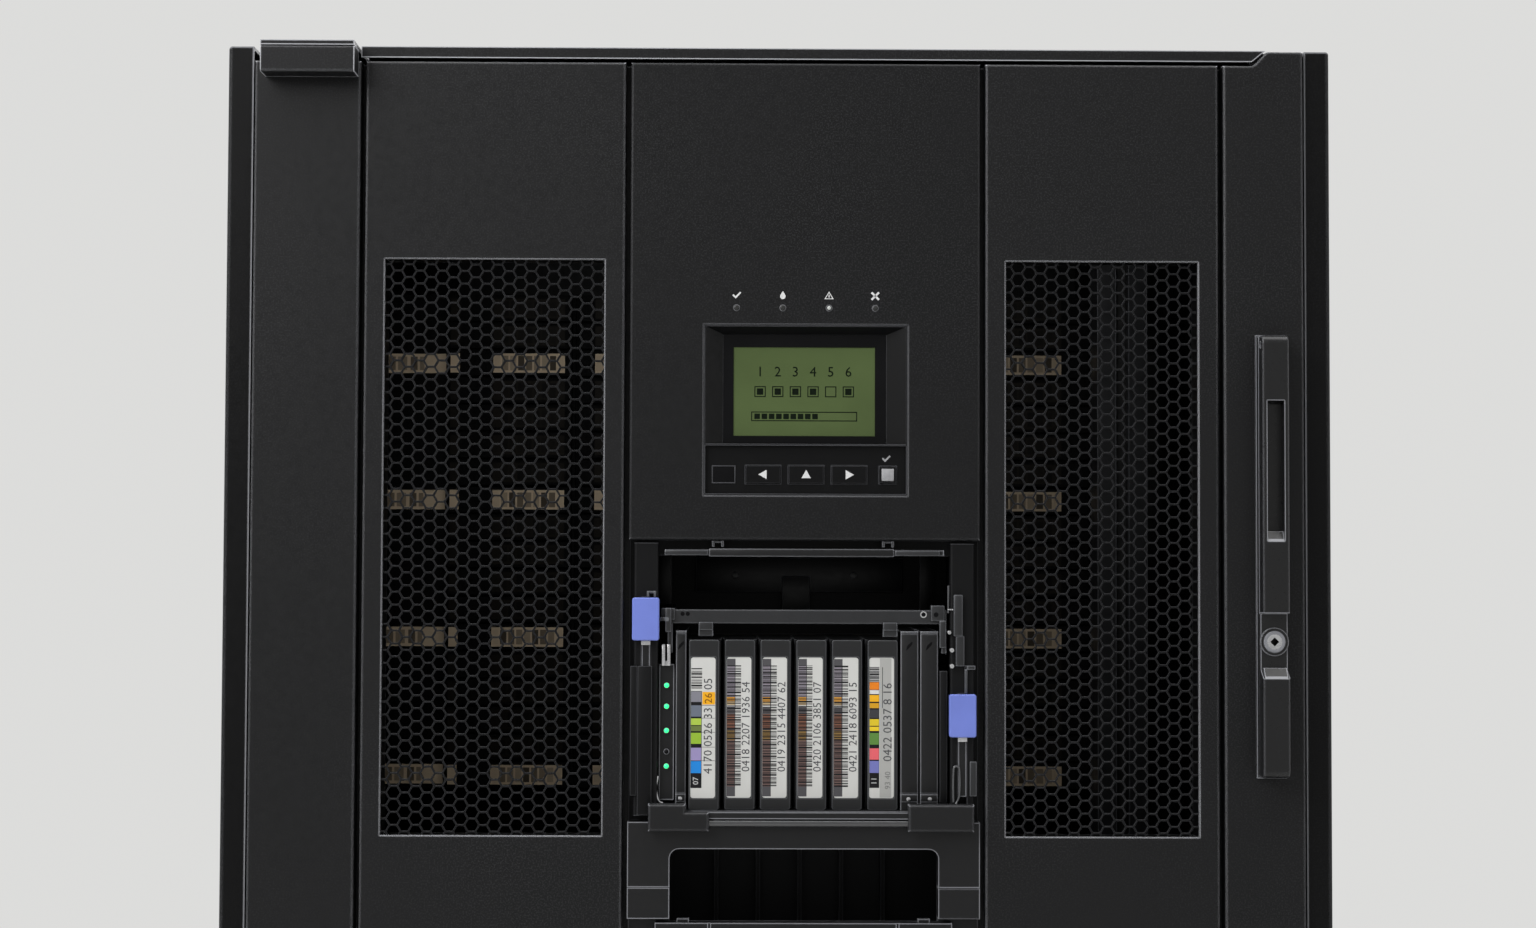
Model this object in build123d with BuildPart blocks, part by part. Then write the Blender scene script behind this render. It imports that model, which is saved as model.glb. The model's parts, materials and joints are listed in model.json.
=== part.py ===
from build123d import *
from math import cos, radians, sqrt
import os

# Free-standing data tape library. Millimetres, +Z up, the front faces -Y.
# The origin is the bottom centre of the whole box.
os.makedirs("parts", exist_ok=True)

# Whole cabinet
cabinet_height = 1100.0
cabinet_depth = 900.0
front_proud = 18.0
rear_proud = 20.0
sheet = 2.0
side_band = 16.0
side_setback = 4.0
side_edge_radius = 2.5
small_radius = 0.75
post_size = 32.0
roof_height = 20.0
rear_panel_depth = 12.0
foot_height = 28.0
foot_radius = 20.0
foot_pad_height = 9.5
foot_chamfer = 3.5
foot_inset = 70.0
stud_radius = 6.0
nut_height = 10.0
base_height = 67.0
base_rail = 40.0
base_wall = 3.0
base_inset = 12.0

# Clearances
seat_gap = 0.3
pin_gap = 0.1
fit_gap = 0.15
module_gap = 0.4

# Door skins, from left to right
door_side_gap = 1.5
door_thickness = 34.0
door_back_gap = 8.0
door_lift = 4.0
panel_depth = 14.0
panel_edge_radius = 1.5
cut_edge = 0.5
panel_drop = 9.5
panel_gap = 3.4
left_stile_width = 66.0
left_panel_width = 162.0
right_panel_width = 145.4
right_stile_width = 50.0
frame_inset = 2.0
frame_wall = 2.5
frame_bar = 40.0

# Honeycomb grilles
grille_margin = 12.75
grille_drop = 133.5
grille_height = 357.0
grille_thickness = 2.5
grille_rim = 6.0
hex_pitch = 20.0
hex_web = 2.2

# Top lip, hinges and the ear of the right stile
lip_height = 7.0
lip_setback = 1.0
hinge_plate = 3.0
hinge_block_width = 58.0
hinge_block_height = 16.3
hinge_inset = 6.5
hinge_pin_radius = 5.0
hinge_pin_length = 11.0
hinge_pin_inset = 10.0
ear_width = 22.5
ear_slope = 8.5
ear_drop = 0.6
ear_radius = 4.75
ear_depth = 8.0
ear_gap = 0.8

# Console with its display and keys
console_height = 298.0
display_inset = 46.0
display_width = 127.0
display_drop = 173.5
display_height = 106.5
display_depth = 8.0
bezel_setback = 0.5
bezel_lip = 1.0
window_width = 102.0
window_height = 68.0
window_drop = 5.5
window_inset = 12.0
window_thickness = 2.0
lcd_width = 88.4
lcd_height = 55.4
lcd_inset = 6.5
lcd_drop = 8.0
lcd_sink = 0.6
key_strip_height = 30.0
key_strip_rise = 1.2
key_strip_depth = 3.5
key_floor = 2.5
key_width = 21.8
key_height = 11.2
key_pitch = 26.8
key_inset = 26.2
key_proud = 1.5
key_edge_radius = 0.5
key_room_inset = 3.0
key_flange = 1.0
key_flange_thickness = 1.2
key_travel = 1.2
select_size = 10.6
select_inset = 109.4
key_drop = 13.2
board_thickness = 1.6
light_count = 4
light_radius = 1.5
light_pitch = 28.8
light_inset = 66.2
light_drop = 163.0
light_proud = 0.4
light_length = 6.0

# Data cartridge and the slide-out magazine of the upper loading bay
cartridge_thickness = 21.5
cartridge_width = 105.4
cartridge_length = 102.0
cartridge_edge = 1.0
cartridge_grip_step = 1.35
cartridge_grip_length = 14.0
cartridge_grip_corner = 1.5
cartridge_grip_edge = 0.5
label_width = 15.6
label_length = 87.4
label_sink = 0.5
label_rise = 7.3
label_shift = 0.6
slot_count = 6
slot_pitch = 22.2
magazine_left_wall = 6.5
magazine_right_wall = 23.3
magazine_wall_split = 1.2
magazine_base = 3.0
magazine_back = 3.0
magazine_back_height = 31.0
magazine_wall_height = 114.0
magazine_setback = 6.0
magazine_left_margin = 29.4
magazine_right_margin = 25.6
first_cartridge_forward = 3.0
rail_proud = 8.0
rail_height = 4.2
rail_setback = 3.0
rail_tube_radius = 2.4
rail_tube_drop = 7.2
rail_block_rise = 4.6
rail_block_height = 16.5
rail_left_lap = 14.5
rail_right_inset = 4.2
rail_left_overhang = 16.4
rail_right_overhang = 21.5

# Loading bay housing, guide posts and release slides
bay_floor_rise = 3.7
bay_lift_room = 43.4
bay_back_room = 16.0
mullion_lap = 8.5
housing_gap = 0.5
flange_lap = 4.0
trim_bar_drop = 6.0
trim_bar_height = 3.8
trim_bar_inset = 22.3
post_setback = 2.0
post_width = 15.0
post_inset = 3.3
groove_width = 5.6
groove_depth = 6.5
tab_width = 16.8
tab_height = 26.5
tab_thickness = 5.0
tab_proud = 3.6
left_tab_drop = 36.0
right_tab_drop = 95.2
tab_travel = 12.0
strip_width = 9.2
strip_height = 84.0
strip_drop = 77.5
strip_thickness = 2.0
strip_bracket = 3.0
lamp_radius = 1.8
lamp_height = 1.6
lamp_drops = (13.0, 26.0, 41.0, 54.0, 63.0)

# Retaining bar over the cartridges
bar_height = 8.7
bar_thickness = 6.0
bar_arm = 3.0
bar_arm_gap = 2.2
bar_arm_depth = 12.0
bar_arm_height = 27.0
bar_reach = 94.0
bar_pad_width = 9.0
bar_pad_inset = 14.0
bar_pad_height = 8.0
bar_pad_gap = 2.0
bar_pin_radius = 3.0
bar_boss_radius = 6.0

# Lower loading bay and its drop flap
bezel_height = 40.0
bezel_block_height = 19.0
bezel_split = 0.4
bezel_top_bar = 16.5
bezel_left_post = 26.1
bezel_right_post = 25.7
bezel_corner = 6.0
flap_side_inset = 17.2
flap_height = 133.5
flap_thickness = 10.5
flap_gap = 2.5
flap_groove = 1.2
flap_end_width = 33.6
flap_pin_radius = 2.0
flap_ear = 4.2
flap_sill_height = 18.0
flap_sill_gap = 7.0
flap_nub_width = 7.5
flap_nub_inset = 13.5
flap_nub_thickness = 3.5
flap_frame_thickness = 3.0
bay_rib_count = 5
bay_rib = 3.0
bay_rib_depth = 10.0
lower_bay_depth = 120.0

# Lever handle and key lock on the right stile
handle_right_inset = 12.2
handle_width = 16.6
handle_drop = 180.0
lever_length = 171.5
base_plate = 6.0
base_margin = 1.0
base_flange = 3.0
lock_zone_length = 35.0
lock_zone_rise = 4.0
lock_ramp = 5.0
lower_grip_length = 61.0
lever_top_radius = 5.0
grip_edge_radius = 1.2
scoop_width = 10.6
scoop_length = 87.0
scoop_drop = 40.5
scoop_depth = 9.0
scoop_ramp = 6.0
scoop_brow = 2.0
lug_radius = 4.0
lug_width = 8.0
lug_neck_rise = 1.2
lever_pin_radius = 2.0
lock_radius = 5.4
lock_ring_radius = 8.7
lock_ring_rise = 1.0
lock_proud = 0.8
lock_socket = 3.9
lock_socket_depth = 5.0
lock_length = 16.0
lock_cam = 14.0
lock_cam_thickness = 3.0
lock_hole_gap = 1.0

# Storage racks at the back of the aisle
rack_columns = 5
rack_rows = 18
rack_wall = 2.5
rack_shelf = 1.6
rack_drop = 90.5
rack_rear_room = 242.0
rack_pocket = 94.0
rack_gap = 0.6
rack_rail_depth = 20.0
rack_rail_height = 24.0

# Rear modules: tape drives, power supplies and controller
module_width = 156.0
module_length = 220.0
drive_height = 92.0
drive_count = 2
supply_height = 70.0
supply_count = 2
controller_height = 44.0
cage_wall = 2.0
cage_offset = 112.0
face_lap = 5.0
face_thickness = 2.0
pull_width = 62.0
pull_bar = 5.0
pull_height = 9.0
inlet_width = 24.2
inlet_height = 16.4
inlet_depth = 16.0
inlet_side = 50.0
vent_columns = 16
vent_rows = 2
vent_width = 8.0
vent_height = 70.0
vent_pitch = 24.0
vent_drop = 190.0

# Picker robot
column_x = 282.0
picker_room = 150.0
column_width = 40.0
column_thickness = 40.0
column_slot = 10.0
column_slot_depth = 8.0
carriage_wall = 10.0
carriage_height = 70.0
carriage_corner = 5.0
carriage_rise = 300.0
arm_reach = 470.0
arm_width = 30.0
arm_height = 24.0
shuttle_wall = 8.0
shuttle_corner = 2.0
shuttle_length = 60.0
shuttle_start = 150.0
guide_width = 20.0
guide_height = 8.0
gripper_width = 48.0
gripper_height = 26.0
gripper_length = 84.0
jaw_length = 34.0
jaw_thickness = 5.0

# Places that follow from the sizes
magazine_width = magazine_left_wall + slot_count * slot_pitch + magazine_right_wall
console_width = magazine_left_margin + magazine_width + magazine_right_margin
stiles_width = left_stile_width + right_stile_width
door_width = stiles_width + left_panel_width + console_width + right_panel_width + 4 * panel_gap
cabinet_width = door_width + 2 * (side_band + door_side_gap)
half_width = cabinet_width / 2
inner_half = half_width - side_band
door_left = door_side_gap - inner_half
door_right = door_left + door_width
stile_edge = door_left + left_stile_width
left_panel_x = stile_edge + panel_gap
console_left = left_panel_x + left_panel_width + panel_gap
console_right = console_left + console_width
right_panel_x = console_right + panel_gap
right_stile_x = right_panel_x + right_panel_width + panel_gap
left_grille_x = left_panel_x + grille_margin
left_grille_end = left_panel_x + left_panel_width - grille_margin
right_grille_x = right_panel_x + grille_margin
right_grille_end = right_panel_x + right_panel_width - grille_margin
front_y = front_proud - cabinet_depth / 2
rear_y = cabinet_depth / 2 - rear_proud
case_front_y = front_y + door_thickness + door_back_gap
frame_y = front_y + panel_depth
base_top = foot_height + base_height
door_bottom = base_top + door_lift
panel_top = cabinet_height - panel_drop
grille_top = cabinet_height - grille_drop
grille_bottom = grille_top - grille_height
hinge_x = door_left + hinge_inset + hinge_pin_inset
hinge_y = front_y - front_proud / 2
lip_left = door_left + hinge_inset + hinge_block_width + door_side_gap
opening_left = console_left + mullion_lap
opening_right = console_right - mullion_lap
housing_left = opening_left + housing_gap
housing_right = opening_right - housing_gap

console_bottom = panel_top - console_height
bar_top = console_bottom - bay_lift_room
bar_low = bar_top - bar_height
cartridge_top = bar_low - bar_pad_height - bar_pad_gap
cartridge_low = cartridge_top - cartridge_width
bay_floor = cartridge_low - magazine_base - seat_gap
bay_bottom = bay_floor - bay_floor_rise
tab_stem_length = console_bottom - right_tab_drop - tab_height - bay_floor - tab_travel - seat_gap
magazine_x = console_left + magazine_left_margin
magazine_end = magazine_x + magazine_width
magazine_y = front_y + magazine_setback
magazine_back_y = magazine_y + cartridge_length + seat_gap
bay_back_y = magazine_back_y + magazine_back + bay_back_room
bar_pivot_y = magazine_y + bar_reach
bar_pivot_z = (bar_low + bar_top) / 2
left_arm_x = magazine_x - bar_arm_gap - bar_arm
right_arm_x = magazine_end + bar_arm_gap

bezel_low = bay_bottom - bezel_height
block_low = bezel_low - bezel_split - bezel_block_height
bezel_open_left = console_left + bezel_left_post
bezel_open_right = console_right - bezel_right_post
flap_top = block_low - flap_gap
flap_low = flap_top - flap_height
flap_radius = flap_thickness / 2
flap_pin_z = flap_low + flap_radius
flap_left = console_left + flap_side_inset
flap_right = console_right - flap_side_inset
sill_top = flap_low - flap_sill_gap
sill_low = sill_top - flap_sill_height

display_left = console_left + display_inset
display_right = display_left + display_width
display_top = cabinet_height - display_drop
display_low = display_top - display_height
strip_low = display_low + key_strip_rise
strip_top = strip_low + key_strip_height
key_z = display_low + key_drop
board_y = front_y + panel_depth

handle_x = door_right - handle_right_inset - handle_width / 2 - base_margin
handle_top = cabinet_height - handle_drop
lever_low = handle_top - lever_length
lever_back_y = front_y - base_plate - seat_gap
lever_front_y = front_y - front_proud
lever_thickness = lever_back_y - lever_front_y
lever_pin_y = (lever_back_y + lever_front_y) / 2
lever_pin_z = handle_top - lever_thickness / 2
lock_z = lever_low - seat_gap - lock_zone_length / 2
lock_face_y = front_y - base_plate - lock_zone_rise
handle_low = lever_low - seat_gap - lock_zone_length - lock_ramp - lower_grip_length

rack_pitch = cartridge_thickness + rack_shelf + 2 * seat_gap
rack_bay = cartridge_width + 2 * rack_gap
rack_column_pitch = rack_bay + 2 * rack_wall + rack_gap
rack_height = rack_rows * rack_pitch + rack_shelf
rack_top = cabinet_height - rack_drop
rack_low = rack_top - rack_height
rack_y = rear_y - rack_rear_room
rack_back_y = rack_y + rack_pocket + rack_wall
module_y = rear_y - module_length
column_y = rack_y - picker_room
carriage_z = base_top + carriage_rise
arm_z = carriage_z + carriage_height / 2


def face_plane(y):
    """Plane parallel to the front at y: sketch x is X, sketch y is Z, a negative extrude runs backwards."""
    return Plane.XZ.offset(-y)


def corners(low_x, high_x, low_y, high_y, mode=Mode.ADD):
    """Rectangle between two corners of the sketch that is open."""
    with Locations(((low_x + high_x) / 2, (low_y + high_y) / 2)):
        Rectangle(high_x - low_x, high_y - low_y, mode=mode)


def save(piece, name):
    """Label a finished piece and write it as its own file."""
    piece.part.label = name
    export_step(piece.part, f"parts/{name}.step")


def door_tray(left, right, low, high):
    """Folded front skin of the door: a closed face with four returns, open at the back."""
    with BuildPart() as tray:
        with BuildSketch(face_plane(front_y)):
            corners(left, right, low, high)
        extrude(amount=-panel_depth)
        fillet(tray.faces().sort_by(Axis.Y)[0].edges(), panel_edge_radius)
        with BuildSketch(face_plane(front_y + sheet)):
            corners(left + sheet, right - sheet, low + sheet, high - sheet)
        extrude(amount=-panel_depth, mode=Mode.SUBTRACT)
    return tray.part


# Plinth: a folded channel ring under the floor sheet, on levelling feet
def make_base():
    left, right = base_inset - half_width, half_width - base_inset
    front, rear = front_y + base_inset, rear_y - base_inset
    with BuildPart() as base_frame:
        with BuildSketch(Plane.XY.offset(foot_height)):
            corners(left, right, front, rear)
        extrude(amount=base_height)
        with BuildSketch(Plane.XY.offset(foot_height)):
            corners(left + base_rail, right - base_rail, front + base_rail, rear - base_rail)
        extrude(amount=base_height - sheet, mode=Mode.SUBTRACT)
        with BuildSketch(Plane.XY.offset(foot_height + base_wall)):
            corners(left + base_wall, right - base_wall, front + base_wall, rear - base_wall)
        extrude(amount=base_height - base_wall - sheet, mode=Mode.SUBTRACT)
        with BuildSketch(Plane.XY.offset(foot_height)):
            with Locations((0, (front + rear) / 2)):
                with GridLocations(right - left - 2 * foot_inset, rear - front - base_rail, 2, 2):
                    Circle(stud_radius + pin_gap)
        extrude(amount=base_wall, mode=Mode.SUBTRACT)
    save(base_frame, "base_frame")

    with BuildPart() as levelling_feet:
        with BuildSketch():
            with Locations((0, (front + rear) / 2)):
                with GridLocations(right - left - 2 * foot_inset, rear - front - base_rail, 2, 2):
                    Circle(foot_radius)
        extrude(amount=foot_pad_height)
        chamfer(levelling_feet.edges().group_by(Axis.Z)[-1], foot_chamfer)
        with BuildSketch(Plane.XY.offset(foot_pad_height)):
            with Locations((0, (front + rear) / 2)):
                with GridLocations(right - left - 2 * foot_inset, rear - front - base_rail, 2, 2):
                    Circle(stud_radius)
        extrude(amount=foot_height)
        with BuildSketch(Plane.XY.offset(foot_height - nut_height)):
            with Locations((0, (front + rear) / 2)):
                with GridLocations(right - left - 2 * foot_inset, rear - front - base_rail, 2, 2):
                    RegularPolygon(2 * stud_radius, 6)
        extrude(amount=nut_height)
    save(levelling_feet, "levelling_feet")


# Case: four tube posts, folded side panels, roof with its front lip, and the rear panel
def make_case():
    post_span_y = rear_y - rear_panel_depth - case_front_y - post_size
    post_middle_y = (rear_y - rear_panel_depth + case_front_y) / 2
    with BuildPart() as corner_posts:
        with BuildSketch(Plane.XY.offset(base_top)):
            with Locations((0, post_middle_y)):
                with GridLocations(2 * inner_half - post_size, post_span_y, 2, 2):
                    Rectangle(post_size, post_size)
                    Rectangle(post_size - 2 * sheet, post_size - 2 * sheet, mode=Mode.SUBTRACT)
        extrude(amount=cabinet_height - roof_height - base_top)
    save(corner_posts, "corner_posts")

    with BuildPart() as roof_panel:
        with BuildSketch(Plane.XY.offset(cabinet_height - roof_height)):
            corners(-inner_half, inner_half, case_front_y, rear_y)
        extrude(amount=roof_height)
        with BuildSketch(Plane.XY.offset(cabinet_height - roof_height)):
            corners(sheet - inner_half, inner_half - sheet, case_front_y + sheet, rear_y - sheet)
        extrude(amount=roof_height - sheet, mode=Mode.SUBTRACT)
        lip_right = door_right - ear_width - ear_gap
        lip_low = cabinet_height - lip_height
        with BuildSketch(face_plane(front_y + lip_setback)):
            with BuildLine():
                Polyline(
                    (lip_left, lip_low),
                    (lip_right - ear_slope, lip_low),
                    (lip_right, cabinet_height),
                    (lip_left, cabinet_height),
                    close=True,
                )
            make_face()
        extrude(amount=-(case_front_y - front_y - lip_setback))
        with BuildSketch(Plane.XY.offset(lip_low)):
            corners(lip_left, lip_right, front_y + lip_setback + sheet, case_front_y)
        extrude(amount=lip_height - sheet, mode=Mode.SUBTRACT)
        tongue_y = front_y + ear_depth + ear_gap
        with BuildSketch(face_plane(tongue_y)):
            corners(lip_right - ear_slope, inner_half, lip_low, cabinet_height)
        extrude(amount=-(case_front_y - tongue_y))
        with BuildSketch(Plane.XY.offset(lip_low)):
            corners(lip_right - ear_slope, inner_half - sheet, tongue_y + sheet, case_front_y)
        extrude(amount=lip_height - sheet, mode=Mode.SUBTRACT)
    save(roof_panel, "roof_panel")


def make_side_panel(name, side):
    """Folded sheet side: a shallow tray that opens towards the inside."""
    outer = side * half_width
    inner = side * inner_half
    skin = side * (half_width - sheet)
    with BuildPart() as side_panel:
        with BuildSketch(Plane.XY.offset(base_top)):
            corners(min(outer, inner), max(outer, inner), front_y + side_setback, rear_y)
        extrude(amount=cabinet_height - base_top)
        outer_face = side_panel.faces().sort_by(Axis.X)[-1 if side > 0 else 0]
        fillet(outer_face.edges(), side_edge_radius)
        with BuildSketch(Plane.XY.offset(base_top + sheet)):
            corners(min(skin, inner), max(skin, inner), front_y + side_setback + sheet, rear_y - sheet)
        extrude(amount=cabinet_height - base_top - 2 * sheet, mode=Mode.SUBTRACT)
    save(side_panel, name)


def module_slots():
    """Name, centre x, low z and height of every slide-out module at the back."""
    slots = []
    low = base_top + cage_wall
    for number in range(1, drive_count + 1):
        slots.append((f"tape_drive_{number}", cage_offset, low, drive_height))
        low += drive_height + cage_wall
    low = base_top + cage_wall
    for number in range(1, supply_count + 1):
        slots.append((f"power_supply_{number}", -cage_offset, low, supply_height))
        low += supply_height + cage_wall
    slots.append(("controller_module", -cage_offset, low, controller_height))
    return slots


def make_rear():
    low, high = base_top, cabinet_height - roof_height
    with BuildPart() as rear_panel:
        with BuildSketch(face_plane(rear_y - rear_panel_depth)):
            corners(-inner_half, inner_half, low, high)
        extrude(amount=-rear_panel_depth)
        with BuildSketch(face_plane(rear_y - rear_panel_depth)):
            corners(sheet - inner_half, inner_half - sheet, low + sheet, high - sheet)
        extrude(amount=-(rear_panel_depth - sheet), mode=Mode.SUBTRACT)
        with BuildSketch(face_plane(rear_y - rear_panel_depth)):
            reach = module_width / 2
            for name, middle_x, slot_low, height in module_slots():
                corners(middle_x - reach, middle_x + reach, slot_low, slot_low + height)
            with Locations((0, cabinet_height - vent_drop)):
                with GridLocations(vent_pitch, vent_height + vent_width, vent_columns, vent_rows):
                    Rectangle(vent_width, vent_height)
        extrude(amount=-rear_panel_depth, mode=Mode.SUBTRACT)
    save(rear_panel, "rear_panel")

    with BuildPart() as module_cage:
        drive_top = base_top + drive_count * (drive_height + cage_wall) + cage_wall
        supplies_top = base_top + supply_count * (supply_height + cage_wall)
        supply_top = supplies_top + controller_height + 2 * cage_wall
        with BuildSketch(face_plane(module_y)):
            for middle_x, top in ((cage_offset, drive_top), (-cage_offset, supply_top)):
                reach = module_width / 2 + cage_wall
                corners(middle_x - reach, middle_x + reach, base_top, top)
            for name, middle_x, slot_low, height in module_slots():
                reach = module_width / 2
                corners(middle_x - reach, middle_x + reach, slot_low, slot_low + height, mode=Mode.SUBTRACT)
        extrude(amount=-(module_length - rear_panel_depth))
    save(module_cage, "module_cage")

    for name, middle_x, slot_low, height in module_slots():
        make_module(name, middle_x, slot_low, height)


def make_module(name, middle_x, slot_low, height):
    """Slide-out module: metal case, rear face plate and a pull; a supply also has its mains inlet."""
    reach = module_width / 2 - module_gap
    low, high = slot_low + seat_gap, slot_low + height - module_gap
    face_y = rear_y + seat_gap
    with BuildPart() as module:
        with BuildSketch(face_plane(module_y)):
            corners(middle_x - reach, middle_x + reach, low, high)
        extrude(amount=-(face_y - module_y))
        with BuildSketch(face_plane(face_y)):
            lap = face_lap - cage_wall - module_gap
            corners(middle_x - reach - lap, middle_x + reach + lap, low, high)
        extrude(amount=-face_thickness)
        pull_y = face_y + face_thickness
        pull_x = middle_x + inlet_side / 2
        with BuildSketch(Plane.XY.offset((low + high - pull_height) / 2)):
            corners(pull_x - pull_width / 2, pull_x + pull_width / 2, pull_y, rear_y + rear_proud)
            corners(
                pull_x - pull_width / 2 + pull_bar,
                pull_x + pull_width / 2 - pull_bar,
                pull_y,
                rear_y + rear_proud - pull_bar,
                mode=Mode.SUBTRACT,
            )
        extrude(amount=pull_height)
        if name.startswith("power"):
            with BuildSketch(face_plane(pull_y)):
                with Locations((middle_x - inlet_side, (low + high) / 2)):
                    Rectangle(inlet_width, inlet_height)
            extrude(amount=inlet_depth, mode=Mode.SUBTRACT)
    save(module, name)


# Storage racks: one pocketed moulding per column, on two rails between the side panels
def make_racks():
    first_x = -(rack_columns - 1) * rack_column_pitch / 2
    column_places = [first_x + index * rack_column_pitch for index in range(rack_columns)]
    row_places = [rack_low + rack_shelf + index * rack_pitch for index in range(rack_rows)]
    pocket_height = rack_pitch - rack_shelf
    with BuildPart() as storage_racks:
        with BuildSketch(face_plane(rack_y)):
            for middle_x in column_places:
                reach = rack_bay / 2 + rack_wall
                corners(middle_x - reach, middle_x + reach, rack_low, rack_top)
        extrude(amount=-(rack_pocket + rack_wall))
        with BuildSketch(face_plane(rack_y)):
            for middle_x in column_places:
                for low in row_places:
                    corners(middle_x - rack_bay / 2, middle_x + rack_bay / 2, low, low + pocket_height)
        extrude(amount=-rack_pocket, mode=Mode.SUBTRACT)
        rail_half = half_width - sheet
        with BuildSketch(face_plane(rack_back_y)):
            for low in (rack_low, rack_top - rack_rail_height):
                corners(-rail_half, rail_half, low, low + rack_rail_height)
        extrude(amount=-rack_rail_depth)
    save(storage_racks, "storage_racks")

    with BuildPart() as stored_cartridges:
        with BuildSketch(face_plane(rack_y + rack_pocket - cartridge_length)):
            for middle_x in column_places:
                for low in row_places:
                    reach = cartridge_width / 2
                    bottom = low + seat_gap
                    corners(middle_x - reach, middle_x + reach, bottom, bottom + cartridge_thickness)
        extrude(amount=-cartridge_length)
    save(stored_cartridges, "stored_cartridges")


# Picker: a slotted column, a lift carriage with its cross arm, a shuttle on the arm and a reaching gripper
def make_picker():
    with BuildPart() as picker_column:
        with BuildSketch(Plane.XY.offset(base_top)):
            with Locations((column_x, column_y)):
                Rectangle(column_width, column_thickness)
            slot_reach = (column_thickness - column_slot_depth) / 2
            with Locations((column_x, column_y - slot_reach), (column_x, column_y + slot_reach)):
                Rectangle(column_slot, column_slot_depth, mode=Mode.SUBTRACT)
        extrude(amount=cabinet_height - sheet - base_top)
    save(picker_column, "picker_column")

    bore_width = column_width + 2 * seat_gap
    bore_thickness = column_thickness + 2 * seat_gap
    carriage_left = column_x - bore_width / 2 - carriage_wall
    with BuildPart() as picker_carriage:
        with BuildSketch(Plane.XY.offset(carriage_z)):
            with Locations((column_x, column_y)):
                RectangleRounded(
                    bore_width + 2 * carriage_wall, bore_thickness + 2 * carriage_wall, carriage_corner
                )
                Rectangle(bore_width, bore_thickness, mode=Mode.SUBTRACT)
        extrude(amount=carriage_height)
        with BuildSketch(Plane.YZ.offset(carriage_left - arm_reach)):
            with Locations((column_y, arm_z)):
                Rectangle(arm_width, arm_height)
        extrude(amount=arm_reach)
    save(picker_carriage, "picker_carriage")

    shuttle_x = carriage_left - arm_reach + shuttle_start
    shuttle_half_y = arm_width / 2 + seat_gap + shuttle_wall
    shuttle_half_z = arm_height / 2 + seat_gap + shuttle_wall
    guide_low = arm_z + shuttle_half_z
    with BuildPart() as picker_shuttle:
        with BuildSketch(Plane.YZ.offset(shuttle_x)):
            with Locations((column_y, arm_z)):
                Rectangle(2 * shuttle_half_y, 2 * shuttle_half_z)
                Rectangle(arm_width + 2 * seat_gap, arm_height + 2 * seat_gap, mode=Mode.SUBTRACT)
        extrude(amount=shuttle_length)
        fillet(picker_shuttle.edges().filter_by(Axis.X).group_by(SortBy.DISTANCE)[-1], shuttle_corner)
        with BuildSketch(Plane.XY.offset(guide_low)):
            with Locations((shuttle_x + shuttle_length / 2, column_y)):
                Rectangle(guide_width, 2 * shuttle_half_y)
        extrude(amount=guide_height)
    save(picker_shuttle, "picker_shuttle")

    middle_x = shuttle_x + shuttle_length / 2
    gripper_low = guide_low + seat_gap
    gripper_y = column_y - shuttle_half_y
    with BuildPart() as picker_gripper:
        with BuildSketch(Plane.XY.offset(gripper_low)):
            gripper_half = gripper_width / 2
            gripper_end = gripper_y + gripper_length
            corners(middle_x - gripper_half, middle_x + gripper_half, gripper_y, gripper_end)
            for side in (-1, 1):
                edge = middle_x + side * gripper_half
                inner = edge - side * jaw_thickness
                corners(min(edge, inner), max(edge, inner), gripper_end, gripper_end + jaw_length)
        extrude(amount=gripper_height)
        with BuildSketch(Plane.XY.offset(gripper_low)):
            slot_half = guide_width / 2 + seat_gap
            corners(middle_x - slot_half, middle_x + slot_half, gripper_y, gripper_end)
        extrude(amount=guide_height, mode=Mode.SUBTRACT)
    save(picker_gripper, "picker_gripper")


# Door: folded frame, its skins and grilles, hinge blocks and the brackets that carry them
def make_door_frame():
    """Frame welded from rectangular tube: four uprights with three rails in each bay between them."""
    back_y = front_y + door_thickness
    inner_y, inner_back_y = frame_y + frame_wall, back_y - frame_wall
    left_start, left_end = left_grille_x - frame_inset, left_grille_end + frame_inset
    right_start, right_end = right_grille_x - frame_inset, right_grille_end + frame_inset
    window_low, window_top = grille_bottom - frame_inset, grille_top + frame_inset
    uprights = (
        (door_left + frame_inset, left_start),
        (left_end, opening_left),
        (opening_right, right_start),
        (right_end, door_right - frame_inset),
    )
    foot_rail = (door_bottom, door_bottom + frame_bar)
    side_rails = (foot_rail, (window_low - frame_bar, window_low), (window_top, panel_top))
    middle_rails = (foot_rail, (sill_low - frame_bar, sill_low), (panel_top - frame_bar, panel_top))
    with BuildPart() as door_frame:
        with BuildSketch(Plane.XY.offset(door_bottom)):
            for low_x, high_x in uprights:
                inner_left, inner_right = low_x + frame_wall, high_x - frame_wall
                corners(low_x, high_x, frame_y, back_y)
                corners(inner_left, inner_right, inner_y, inner_back_y, mode=Mode.SUBTRACT)
        extrude(amount=panel_top - door_bottom)
        for low_x, high_x, rails in (
            (left_start, left_end, side_rails),
            (opening_left, opening_right, middle_rails),
            (right_start, right_end, side_rails),
        ):
            with BuildSketch(Plane.YZ.offset(low_x + fit_gap)):
                for low, high in rails:
                    inner_low, inner_high = low + frame_wall, high - frame_wall
                    corners(frame_y, back_y, low, high)
                    corners(inner_y, inner_back_y, inner_low, inner_high, mode=Mode.SUBTRACT)
            extrude(amount=high_x - low_x - 2 * fit_gap)
    save(door_frame, "door_frame")


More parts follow.
